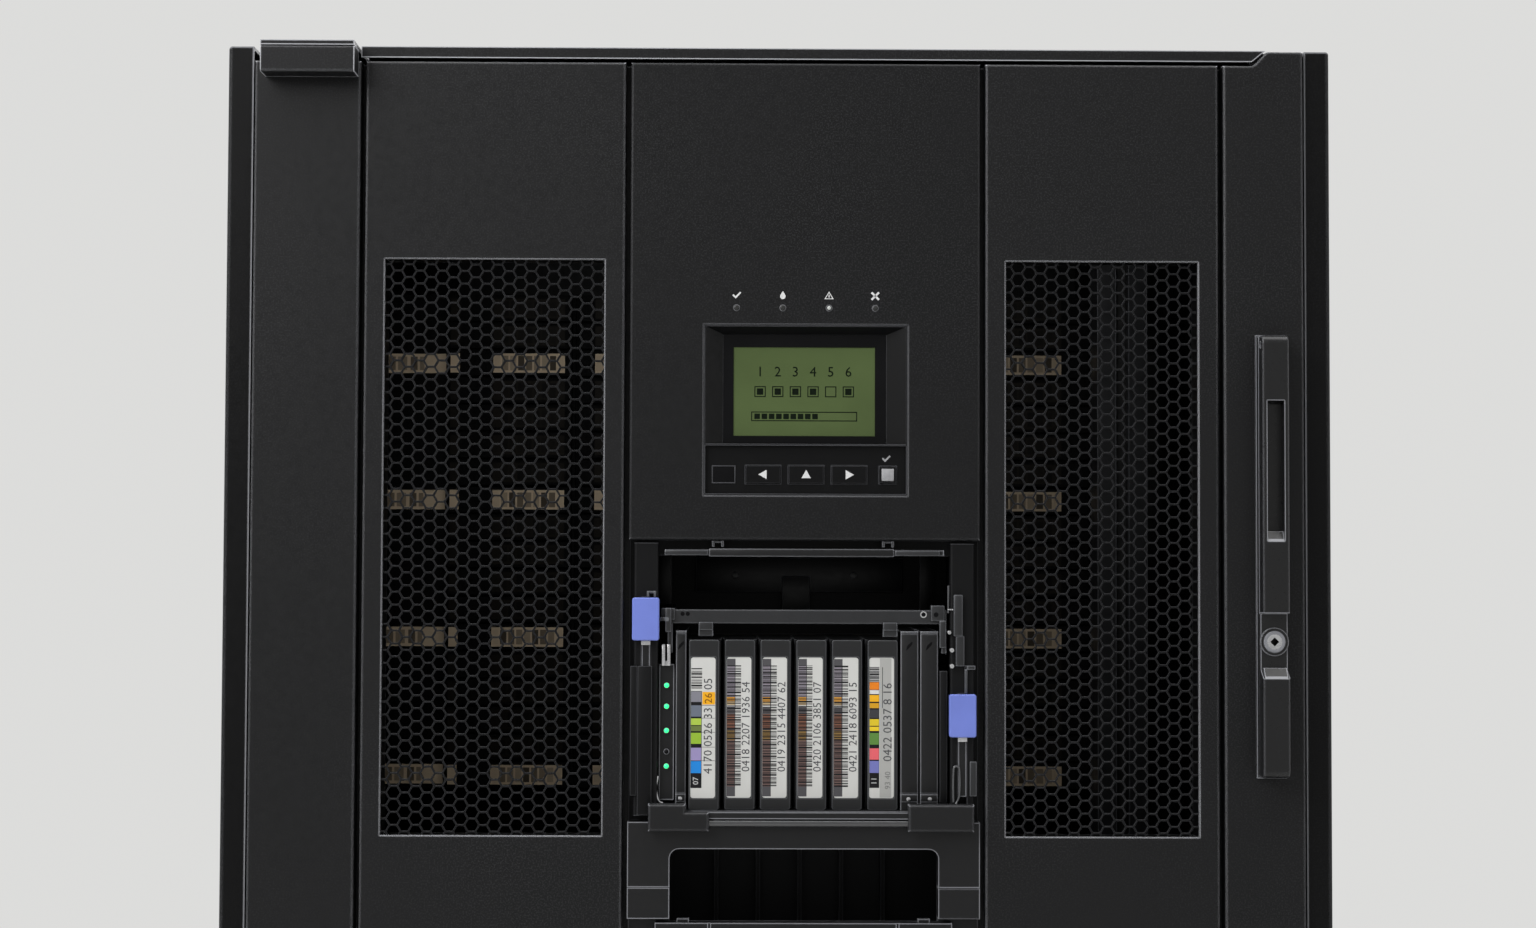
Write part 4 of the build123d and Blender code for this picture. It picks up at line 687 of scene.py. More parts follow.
class TAPELIBRARY_OT_console(bpy.types.Operator):
    """Signs over the status lights, key marks, the select insert and the blank window"""

    bl_idname = "tape_library.console"
    bl_label = "Console marks"

    # Outlines of the signs, in millimetres
    TICK = ((-2.6, 0.2), (-1.9, 0.9), (-0.6, -0.4), (2.2, 2.4), (2.9, 1.7), (-0.6, -1.9))
    TRIANGLE = ((0.0, 2.8), (-2.9, -2.0), (2.9, -2.0))
    TRIANGLE_BAR = 0.28
    ARROW = ((0.0, 3.0), (-2.9, -2.2), (2.9, -2.2))
    DROP_RADIUS = 1.75
    CROSS_NEAR = 1.85
    CROSS_FAR = 2.75
    LIGHTS = 4
    LIT_LIGHT = 2
    LIT_RADIUS = 1.2 * MM
    DARK_RADIUS = 1.7 * MM
    LENS_HEIGHT = 0.5 * MM
    SIGN_RISE = 7.6 * MM
    STRIP_DEPTH = 1.5 * MM
    RIM = 0.7 * MM

    def execute(self, context):
        low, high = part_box("status_lights")
        light_z = (low.z + high.z) / 2
        across = high.z - low.z
        pitch = (high.x - low.x - across) / (self.LIGHTS - 1)
        spots = [low.x + across / 2 + index * pitch for index in range(self.LIGHTS)]
        bm = bmesh.new()
        for x, sign in zip(spots, (self.tick, self.drop, self.caution, self.cross)):
            sign(bm, x, light_z + self.SIGN_RISE, DOOR_Y)
        put("status_signs", bm, "pale_mark", DOOR)
        for index, x in enumerate(spots):
            lit = index == self.LIT_LIGHT
            bm = bmesh.new()
            radius = self.LIT_RADIUS if lit else self.DARK_RADIUS
            add_lens(bm, (x, low.y, light_z), radius, self.LENS_HEIGHT)
            put(f"status_lens_{index + 1}", bm, "lamp_white" if lit else "lamp_lens", DOOR)
        self.key_marks()
        self.display_trim()
        return {"FINISHED"}

    def tick(self, bm, x, z, face):
        """Tick for ready."""
        add_print(bm, shifted(self.TICK, x, z), face)

    def drop(self, bm, x, z, face):
        """Drop for clean."""
        outline = [(0.0, 3.0)]
        for step in range(9):
            angle = math.radians(35 - 250 * step / 8)
            outline.append((self.DROP_RADIUS * math.cos(angle), self.DROP_RADIUS * math.sin(angle) - 0.4))
        add_print(bm, shifted(outline, x, z), face)

    def caution(self, bm, x, z, face):
        """Three bars of a triangle round a stroke, for attention."""
        peaks = [Vector(peak) for peak in shifted(self.TRIANGLE, x, z)]
        middle = sum(peaks, Vector((0.0, 0.0))) / 3
        for start, end in zip(peaks, peaks[1:] + peaks[:1]):
            inner = [spot.lerp(middle, self.TRIANGLE_BAR) for spot in (end, start)]
            add_print(bm, [start, end, *inner], face)
        add_print(bm, rounded(x - 0.3 * MM, x + 0.3 * MM, z - 1.1 * MM, z + 0.9 * MM, 0.2 * MM, 2), face)

    def cross(self, bm, x, z, face):
        """Diagonal cross for error."""
        near, far = self.CROSS_NEAR, self.CROSS_FAR
        for side in (-1, 1):
            points = ((-far, -near), (-near, -far), (far, near), (near, far))
            add_print(bm, shifted([(side * a, b) for a, b in points][::side], x, z), face)

    def key_marks(self):
        """Arrow prints on three keys and the pale insert of the select key."""
        for node, angle in (("key_left", 90), ("key_up", 0), ("key_right", -90)):
            spot = front_of(node)
            turn = Matrix.Rotation(math.radians(angle), 2)
            bm = bmesh.new()
            add_print(bm, shifted([turn @ Vector(corner) for corner in self.ARROW], spot.x, spot.z), spot.y)
            put(f"{node}_arrow", bm, "pale_mark", node)
        bm = bmesh.new()
        add_boxes(bm, front_of("key_select"), 0.25 * MM, ((-3.8, -0.25, -3.8), (3.8, 1.0, 3.8)))
        put("key_select_insert", bm, "key_insert", "key_select")

    def display_trim(self):
        """Blank window left of the keys and the small sign over the select key."""
        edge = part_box("console_bezel")[0].x
        left, right = edge + 5.0 * MM, edge + 19.8 * MM
        key_low, key_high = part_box("key_left")
        low, high = key_low.z + MM, key_high.z - MM
        strip_y = key_low.y + self.STRIP_DEPTH
        rim = self.RIM
        bm = bmesh.new()
        for start, end, foot, top in strokes(left, right, low, high, rim, rim):
            add_box(bm, (start, strip_y - 0.5 * MM, foot), (end, strip_y + MM, top), 0.15 * MM)
        put("blank_window_rim", bm, "bay_plastic", DOOR)
        bm = bmesh.new()
        pane_low = (left + rim, strip_y - 0.15 * MM, low + rim)
        add_box(bm, pane_low, (right - rim, strip_y + MM, high - rim), 0.1 * MM)
        put("blank_window", bm, "display_black")
        bm = bmesh.new()
        self.tick(bm, front_of("key_select").x - MM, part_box("key_select")[1].z + 3.6 * MM, strip_y)
        put("select_sign", bm, "key_insert", DOOR)


class TAPELIBRARY_OT_screen(bpy.types.Operator):
    """Slot map and progress bar on the green display"""

    bl_idname = "tape_library.screen"
    bl_label = "Display"

    SLOTS = 6
    EMPTY_SLOT = 4
    BLOCKS = 14
    FILLED_BLOCKS = 9
    STROKE = 0.6 * MM
    DIGIT_HEIGHT = 6.2 * MM
    # Drops of the three rows, as shares of the display's height
    DIGIT_ROW = 0.28
    SLOT_ROW = 0.50
    BAR_ROW = 0.78
    # Half widths of a slot's outline and of its fill, as shares of a cell
    SLOT_HALF = 0.32
    FILL_HALF = 0.18

    def execute(self, context):
        _, sizes = settings()
        low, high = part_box("lcd_panel")
        height = high.z - low.z
        cell = (high.x - low.x) / (self.SLOTS + 2)
        columns = [low.x + cell * (slot + 1.5) for slot in range(self.SLOTS)]
        bm = bmesh.new()
        for slot, x in enumerate(columns, 1):
            spot = (x, low.y - sizes.print_height, high.z - self.DIGIT_ROW * height)
            place = Matrix.Translation(spot) @ FACE_FRONT
            add_digits(bm, str(slot), self.DIGIT_HEIGHT, place, sizes.print_height)
        z = high.z - self.SLOT_ROW * height
        half, fill = self.SLOT_HALF * cell, self.FILL_HALF * cell
        for slot, x in enumerate(columns):
            self.outline(bm, x - half, x + half, z, 3.4 * MM, low.y)
            if slot != self.EMPTY_SLOT:
                self.block(bm, x - fill, x + fill, z, 2.0 * MM, low.y)
        z = high.z - self.BAR_ROW * height
        left, right = low.x + cell, high.x - cell
        self.outline(bm, left, right, z, 3.0 * MM, low.y)
        step = (right - left - 3.0 * MM) / self.BLOCKS
        for block in range(self.FILLED_BLOCKS):
            x = left + 1.5 * MM + block * step
            self.block(bm, x + 0.5 * MM, x + step - 0.5 * MM, z, 1.7 * MM, low.y)
        put("display_map", bm, "screen_ink", DOOR)
        return {"FINISHED"}

    def outline(self, bm, left, right, z, half, face):
        """Thin rectangle of four strokes."""
        for a, b, low, high in strokes(left, right, z - half, z + half, self.STROKE, self.STROKE):
            add_print(bm, [(a, low), (b, low), (b, high), (a, high)], face)

    def block(self, bm, left, right, z, half, face):
        """Filled block with round corners."""
        add_print(bm, rounded(left, right, z - half, z + half, 0.2 * MM, 2), face)


class TAPELIBRARY_OT_lamps(bpy.types.Operator):
    """Green lenses on the lamp strip, four of them lit"""

    bl_idname = "tape_library.lamps"
    bl_label = "Lamp strip"

    LAMP_DROPS = (13.0 * MM, 26.0 * MM, 41.0 * MM, 54.0 * MM, 63.0 * MM)
    DARK_LAMP = 3
    RADIUS = 1.45 * MM
    HEIGHT = 1.1 * MM

    def execute(self, context):
        low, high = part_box("led_strip")
        x = (low.x + high.x) / 2
        lit, dark = bmesh.new(), bmesh.new()
        for index, drop in enumerate(self.LAMP_DROPS):
            bm = dark if index == self.DARK_LAMP else lit
            add_lens(bm, (x, low.y, high.z - drop), self.RADIUS, self.HEIGHT)
        put("lit_lamps", lit, "lamp_lit", DOOR)
        put("dark_lamp", dark, "display_black")
        return {"FINISHED"}


class LabelPrint:
    """Print on one paper label; places are in millimetres from its upper left corner."""

    LAYER = 0.015 * MM
    TOP_LAYER = 3
    BAR_STEPS = (2, 1, 1, 3, 1, 2, 1, 1, 2, 3, 1, 1, 2, 1, 3, 1, 2, 2, 1, 1, 3, 2, 1, 1, 2, 1)
    BAR_UNIT = 0.34
    BLACK = (0.010, 0.010, 0.011)

    def __init__(self, bm, ink, corner):
        self.bm = bm
        self.ink = ink
        self.x, self.y, self.z = corner

    def patch(self, tint, left, right, drop, height, layer):
        """Flat printed field."""
        top = self.z - drop * MM
        sides = (self.x + left * MM, self.x + right * MM, top - height * MM, top)
        print_field(self.bm, self.ink, *sides, self.y - layer * self.LAYER, tint)

    def bars(self, index, left, right, drop, extent):
        """Bars across the label, of three widths."""
        reached, count = 0.0, 5 * index
        while reached < extent:
            width = self.BAR_STEPS[count % len(self.BAR_STEPS)] * self.BAR_UNIT
            gap = self.BAR_STEPS[(count + 9) % len(self.BAR_STEPS)] * self.BAR_UNIT
            self.patch(self.BLACK, left, right, drop + reached, width, self.TOP_LAYER)
            reached += width + gap
            count += 1

    def digits(self, words, tint, height, middle, drop):
        """Digits turned on their side, centred at a place on the label."""
        _, sizes = settings()
        old = set(self.bm.faces)
        turn = FACE_FRONT @ Matrix.Rotation(math.radians(90), 4, "Z")
        spot = (self.x + middle * MM, self.y - self.TOP_LAYER * self.LAYER, self.z - drop * MM)
        add_digits(self.bm, words, height * MM, Matrix.Translation(spot) @ turn, sizes.print_height / 3)
        print_faces(set(self.bm.faces) - old, self.ink, tint)


class TAPELIBRARY_OT_labels(bpy.types.Operator):
    """Paper labels with bars, coloured cells and digits on the cartridges"""

    bl_idname = "tape_library.labels"
    bl_label = "Cartridge labels"

    HALF_WIDTH = 7.65 * MM
    LENGTH = 87.0 * MM
    RISE = 7.5 * MM
    SHIFT = 0.6 * MM
    FIELD_DEPTH = 0.5 * MM
    CORNER = 1.6 * MM
    GREY = (0.5, 0.5, 0.5)
    DARK = (0.06, 0.06, 0.065)
    SOFT = (0.07, 0.07, 0.075)
    LINES = (29.6, 37.5, 46.2, 55.4, 63.8)
    # Cells of a label's left column: drop from the top and height in millimetres, and colour
    FIRST_CELLS = (
        (21.2, 6.4, (0.20, 0.20, 0.23)),
        (29.7, 7.0, (0.13, 0.15, 0.19)),
        (37.8, 4.1, (0.36, 0.50, 0.07)),
        (42.4, 3.3, (0.13, 0.17, 0.05)),
        (46.7, 6.8, (0.26, 0.42, 0.04)),
        (55.9, 7.9, (0.28, 0.24, 0.43)),
        (64.2, 7.4, (0.02, 0.21, 0.60)),
    )
    LAST_CELLS = (
        (15.3, 4.5, (0.70, 0.20, 0.02)),
        (20.1, 2.5, (0.60, 0.60, 0.58)),
        (23.2, 4.1, (0.76, 0.39, 0.02)),
        (28.2, 3.1, (0.58, 0.30, 0.02)),
        (32.1, 5.2, (0.045, 0.045, 0.05)),
        (38.1, 4.1, (0.64, 0.48, 0.03)),
        (42.8, 2.6, (0.72, 0.52, 0.03)),
        (46.7, 7.2, (0.10, 0.22, 0.05)),
        (56.2, 7.0, (0.68, 0.12, 0.14)),
        (64.0, 7.4, (0.16, 0.17, 0.43)),
    )
    MIDDLE_CELLS = (
        (5.0, 19.4, (0.22, 0.20, 0.23)),
        (24.6, 2.8, (0.56, 0.27, 0.05)),
        (27.4, 2.2, (0.40, 0.30, 0.17)),
        (29.6, 1.2, (0.46, 0.46, 0.47)),
        (30.8, 4.2, (0.09, 0.085, 0.09)),
        (35.2, 9.6, (0.17, 0.078, 0.052)),
        (45.2, 6.2, (0.20, 0.125, 0.045)),
        (51.4, 28.6, (0.135, 0.088, 0.080)),
    )
    NUMBERS = (
        "4170 0526 33",
        "0418 2207 1936 54",
        "0419 2315 4407 62",
        "0420 2106 3851 07",
        "0421 2418 6093 15",
        "0422 0537 8 16",
    )

    def execute(self, context):
        for index, node in enumerate(CARTRIDGES):
            bm = self.label(index, *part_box(node))
            put(f"{node}_label", bm, "label_print", node, close=False)
        return {"FINISHED"}

    def label(self, index, low, high):
        tones, sizes = settings()
        left = (low.x + high.x) / 2 - self.SHIFT - self.HALF_WIDTH
        bottom = low.z + self.RISE
        top = bottom + self.LENGTH
        paper_y = low.y + self.FIELD_DEPTH - sizes.label_thickness
        bm = bmesh.new()
        ink = bm.loops.layers.float_color.new("ink")
        outline = rounded(left, left + 2 * self.HALF_WIDTH, bottom, top, self.CORNER)
        add_plate(bm, outline, paper_y, sizes.label_thickness)
        bmesh.ops.recalc_face_normals(bm, faces=bm.faces)
        print_faces(bm.faces, ink, tones.paper)
        label = LabelPrint(bm, ink, (left, paper_y, top))
        if index == 0:
            self.first(label)
        elif index == len(CARTRIDGES) - 1:
            self.last(label)
        else:
            self.middle(label, index)
        return bm

    def first(self, label):
        label.bars(0, 0.3, 7.0, 6.7, 13.4)
        label.patch(label.BLACK, 0.1, 6.9, 20.9, 59.9, 1)
        for drop, height, tint in self.FIRST_CELLS:
            label.patch(tint, 0.2, 6.6, drop, height, 2)
        label.digits("07", self.GREY, 3.4, 3.4, 76.4)
        label.patch((0.76, 0.37, 0.02), 7.2, 15.1, 21.4, 7.8, 1)
        label.digits("26", (0.16, 0.06, 0.01), 4.6, 11.2, 25.3)
        for drop in self.LINES:
            label.patch(label.BLACK, 6.9, 15.1, drop, 0.25, 2)
        label.digits("05", self.DARK, 5.2, 11.0, 16.4)
        label.digits(self.NUMBERS[0], self.DARK, 5.2, 11.0, 51.5)

    def last(self, label):
        label.patch((0.36, 0.36, 0.345), 6.5, 13.7, 0.3, 86.4, 1)
        label.patch(label.BLACK, 0.1, 6.2, 5.8, 74.9, 1)
        label.patch((0.30, 0.30, 0.30), 0.2, 6.2, 5.8, 9.2, 2)
        label.bars(5, 0.2, 6.2, 5.8, 8.6)
        for drop, height, tint in self.LAST_CELLS:
            label.patch(tint, 0.2, 6.0, drop, height, 2)
        label.digits("11", self.GREY, 3.4, 3.1, 76.4)
        label.patch(label.BLACK, 8.0, 8.35, 5.9, 25.4, 2)
        label.digits(self.NUMBERS[-1], self.SOFT, 5.4, 11.6, 40.0)
        label.digits("93 40", (0.16, 0.16, 0.16), 3.4, 11.6, 76.0)

    def middle(self, label, index):
        label.patch((0.075, 0.073, 0.078), 0.1, 5.5, 0.9, 85.2, 1)
        for drop, height, tint in self.MIDDLE_CELLS:
            label.patch(tint, 0.2, 4.9 + 0.2 * (index % 2), drop, height, 2)
        label.bars(index, 0.3, 9.0, 5.0, 74.6)
        label.digits(self.NUMBERS[index], self.SOFT, 5.0, 12.2, 43.0)


class TAPELIBRARY_OT_stored_labels(bpy.types.Operator):
    """Labels on the stored cartridges, every fifth row pale and the rest nearly black, the pale ones dimmed
    towards the right by painted shade, and the side strip's tags
    """

    bl_idname = "tape_library.stored_labels"
    bl_label = "Stored labels"

    ROWS = 18
    PALE_EVERY = 5
    ROW_BEHIND_BAY = 5
    FIRST_ROW = 10.75 * MM
    ROW_PITCH = 23.7 * MM
    COLUMN_PITCH = 112.2 * MM
    REACH = 8.4 * MM
    PAPER = 0.10 * MM
    PRINT = 0.16 * MM
    CELLS = 9
    CELL_GAP = 0.8 * MM
    DARK_SHARE = 0.015
    # Painted shade: the pale labels grow dimmer towards the right columns, as if less light reached them
    COLUMN_SHADES = (1.0, 0.9, 0.8, 0.6, 0.6)
    SPANS = ((-15.0, 47.0), (-39.0, 39.0), (-39.0, 39.0), (-39.0, 29.0), (-39.0, 29.0))
    EDGE_SPAN = (-52.0, -44.0)
    TAG_SPAN = (10.0, 62.0)
    TAG_CELLS = ((12.0, 18.0, 0.3), (20.0, 28.0, 0.45), (31.0, 37.0, 0.2), (39.0, 43.0, 0.4))

    def execute(self, context):
        tones, _ = settings()
        stored = Vector(tones.stored)
        low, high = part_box("stored_cartridges")
        rack_low, rack_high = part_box("storage_racks")
        rows = [low.z + self.FIRST_ROW + row * self.ROW_PITCH for row in range(self.ROWS)]
        last = len(self.SPANS) - 1
        bm = bmesh.new()
        ink = bm.loops.layers.float_color.new("ink")

        def field(x, span, z, share, y, tint):
            left, right = (x + side * MM for side in span)
            print_field(bm, ink, left, right, z - share * self.REACH, z + share * self.REACH, y, tint)

        for column, span in enumerate(self.SPANS):
            x = (low.x + high.x) / 2 + (column - last / 2) * self.COLUMN_PITCH
            start, end = (x + side * MM for side in span)
            step = (end - start) / self.CELLS
            for row, z in enumerate(rows):
                behind_bay = row == self.ROW_BEHIND_BAY and 0 < column < last
                pale = row % self.PALE_EVERY == 0 and not behind_bay
                tint = stored * (self.COLUMN_SHADES[column] if pale else self.DARK_SHARE)
                field(x, span, z, 1.0, low.y - self.PAPER, tint)
                if column == 0:
                    field(x, self.EDGE_SPAN, z, 1.0, low.y - self.PAPER, tint)
                for cell in range(self.CELLS):
                    ends = cell in (0, self.CELLS - 1)
                    share = 0.9 if ends else 0.1 + 0.17 * ((cell * 5 + row * 3 + column * 2) % 4)
                    sides = (start + cell * step + self.CELL_GAP, start + (cell + 1) * step - self.CELL_GAP)
                    heights = (z - 0.75 * self.REACH, z + 0.75 * self.REACH)
                    print_field(bm, ink, *sides, *heights, low.y - self.PRINT, tint * share)
        for z in rows[:: self.PALE_EVERY]:
            field(rack_low.x, self.TAG_SPAN, z, 1.0, rack_low.y - self.PAPER, stored)
            for start, end, share in self.TAG_CELLS:
                field(rack_low.x, (start, end), z, 0.7, rack_low.y - self.PRINT, stored * share)
        put("stored_labels", bm, "label_print", CABINET, close=False)
        bm = bmesh.new()
        strip_high = (low.x - 3.2 * MM, rack_low.y + 2.0 * MM, rack_high.z)
        add_box(bm, rack_low + mm(0.5, 0.0, 0.0), strip_high, 0.4 * MM)
        put("rack_side_strip", bm, "inner_paint", CABINET)
        return {"FINISHED"}


class TAPELIBRARY_OT_bay(bpy.types.Operator):
    """Trim sleeves, back wall, guides, brackets and levers of the upper loading bay"""

    bl_idname = "tape_library.bay"
    bl_label = "Bay fittings"

    # Lines of the bent wires, in millimetres
    LEFT_WIRE = ((-0.4, 15.0), (-1.6, 10.0), (-1.2, 3.0), (0.6, -1.6), (2.6, -1.4))
    RIGHT_WIRE = (
        (-5.6, 9.0),
        (-5.9, 18.0),
        (-5.6, 29.5),
        (-4.9, 31.2),
        (-2.6, 31.2),
        (-1.8, 29.5),
        (-1.6, 17.0),
        (-2.4, 10.0),
        (-4.2, 8.0),
    )
    ROD_RADIUS = 0.7 * MM

    def execute(self, context):
        self.trim()
        self.back_wall()
        self.left_side()
        self.right_side()
        return {"FINISHED"}

    def trim(self):
        """Cover, two end sleeves and two small brackets of the trim bar."""
        low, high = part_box("bay_trim_bar")
        bm = bmesh.new()
        add_box(bm, low + mm(27.3, -0.8, -0.7), high + mm(-30.9, 0.0, 0.6), 0.8 * MM)
        put("trim_cover", bm, "black_plastic")
        bm = bmesh.new()
        for x, left, right in ((low.x, -0.2, 26.8), (high.x, -30.4, -2.6)):
            foot, top = Vector((x, low.y, low.z)), Vector((x, low.y, high.z))
            add_box(bm, foot + mm(left, -1.2, 0.1), top + mm(right, 3.0, -0.3), 0.8 * MM)
        for x in (low.x + 29.2 * MM, high.x - 38.4 * MM):
            add_boxes(
                bm,
                (x, low.y, high.z),
                0.3 * MM,
                ((0.0, 0.0, 1.6), (1.6, 6.0, 5.4)),
                ((5.8, 0.0, 1.6), (7.4, 6.0, 5.4)),
                ((0.0, 1.0, 4.1), (7.4, 6.0, 5.4)),
            )
        put("trim_sleeves", bm, "bar_grey")

    def back_wall(self):
        """Stiffening beam, centre rib and pillars on the wall behind the cartridges."""
        low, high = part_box("io_housing")
        wall = high.y - 2 * MM
        middle = (low.x + high.x) / 2
        bm = bmesh.new()
        for x, box in (
            (middle, ((-70.0, -6.0, -34.0), (68.6, 0.0, -10.6))),
            (middle, ((-12.3, -11.0, -45.0), (6.5, 0.0, -23.0))),
            (low.x, ((11.7, -4.0, -46.0), (23.2, 0.0, -3.0))),
            (high.x, ((-29.0, -4.0, -46.0), (-18.9, 0.0, -3.0))),
        ):
            add_boxes(bm, (x, wall, high.z), MM, box)
        put("bay_back_wall", bm, "black_plastic")
        bm = bmesh.new()
        for x in (middle - 43.5 * MM, middle + 35.9 * MM):
            add_stud(bm, x, high.z - 22.5 * MM, wall - 7.2 * MM, wall - 5 * MM, 2.4 * MM, bevel=0.5 * MM)
        put("bay_back_screws", bm, "bar_grey")

    def left_side(self):
        """Sleeve and wing over the left slide's stem, its stop, the lever, the clip and a wire."""
        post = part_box("left_guide_post")[0]
        slide_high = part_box("left_release")[1]
        strip_low, strip_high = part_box("led_strip")
        x = front_of("left_release").x
        top = strip_high.z - 0.8 * MM
        spot = Vector((x, DOOR_Y, top))
        bm = bmesh.new()
        add_box(bm, Vector((x, DOOR_Y, post.z)) + mm(-5.0, 0.0, 0.4), spot + mm(4.0, 1.1, 0.0), 0.4 * MM)
        add_boxes(bm, spot, 0.5 * MM, ((-9.5, 0.0, -80.0), (-5.3, 3.0, 0.0)))
        put("left_stem_cover", bm, "bay_plastic", DOOR)
        near = Vector((x, DOOR_Y, slide_high.z + 0.5 * MM))
        far = Vector((x, post.y, near.z))
        bm = bmesh.new()
        for left, front, foot, right in (
            (0.6, -2.0, 0.0, 2.0),
            (4.9, -2.0, 0.0, 6.3),
            (0.6, -1.0, 2.2, 6.3),
        ):
            add_box(bm, near + mm(left, front, foot), far + mm(right, 1.0, 3.6), 0.3 * MM)
        lever = Vector((front_of("led_strip").x + MM, DOOR_Y, top))
        add_boxes(bm, lever, 0.9 * MM, ((-2.0, 0.4, 21.0), (2.0, 3.4, 36.0)))
        rod_end = lever + mm(0.0, 2.0, 29.0)
        rod_start = (slide_high.x + 0.5 * MM, rod_end.y, rod_end.z)
        add_rod(bm, rod_start, rod_end, 1.3 * MM, bevel=0.2 * MM)
        put("left_linkage", bm, "bar_grey")
        clip = Vector((strip_low.x, strip_low.y, top))
        bm = bmesh.new()
        add_boxes(
            bm,
            clip,
            0.5 * MM,
            ((1.6, -3.0, 0.0), (3.7, 1.0, 13.4)),
            ((4.9, -3.0, 0.0), (7.0, 1.0, 13.4)),
        )
        clip_end = (strip_low.x + 7 * MM, strip_high.y, top + 3 * MM)
        add_box(bm, clip + mm(1.6, -1.0, 0.0), clip_end, 0.4 * MM)
        put("left_clip", bm, "steel")
        bm = bmesh.new()
        add_wire(bm, shifted(self.LEFT_WIRE, strip_low.x, strip_low.z), strip_low.y - 2 * MM)
        put("left_wire", bm, "steel")

    def right_side(self):
        """Levers, guide strip, pins and the bent wire on the right."""
        low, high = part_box("right_guide_post")
        x = front_of("right_release").x
        front, top = low.y, high.z
        spot, foot = Vector((x, front, top)), Vector((x, front, low.z))
        above_slide = Vector((x, front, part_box("right_release")[1].z))
        bm = bmesh.new()
        add_boxes(bm, spot, 1.2 * MM, ((-5.8, -4.0, -57.5), (0.2, 1.0, -31.5)))
        add_boxes(bm, spot, 0.8 * MM, ((-4.3, -2.8, -76.0), (1.2, 1.0, -57.0)))
        add_box(bm, above_slide + mm(1.4, -1.8, 0.6), spot + mm(3.0, 1.0, -75.5), 0.3 * MM)
        add_boxes(bm, spot, 0.3 * MM, ((1.4, -1.8, -78.0), (8.0, 1.0, -75.5)))
        add_boxes(bm, foot, 0.6 * MM, ((4.6, -1.0, 12.5), (9.0, 4.0, 34.0)))
        put("right_levers", bm, "bar_grey")
        bm = bmesh.new()
        strip_high = Vector((low.x, front, top)) + mm(-1.6, 8.0, -79.0)
        add_box(bm, low + mm(-6.4, 1.6, 8.4), strip_high, 0.5 * MM)
        put("right_guide_strip", bm, "bay_plastic", DOOR)
        bm = bmesh.new()
        for across, up, radius in ((-6.6, -66.0, 1.4), (-6.6, -75.8, 1.4), (-8.2, -55.0, 1.2)):
            ends = (spot + mm(across, -3.0, up), spot + mm(across, 4.0, up))
            add_rod(bm, *ends, radius * MM, bevel=0.3 * MM)
        put("right_pins", bm, "steel")
        bm = bmesh.new()
        for start, end in (
            ((-8.6, 1.0, -43.0), (-8.6, 1.0, -26.0)),
            ((-8.8, 1.0, -41.0), (-5.0, -1.0, -41.0)),
        ):
            add_rod(bm, spot + mm(*start), spot + mm(*end), self.ROD_RADIUS, segments=12)
        add_wire(bm, shifted(self.RIGHT_WIRE, x, low.z), front - 1.8 * MM)
        put("right_wire", bm, "rail_satin", DOOR)


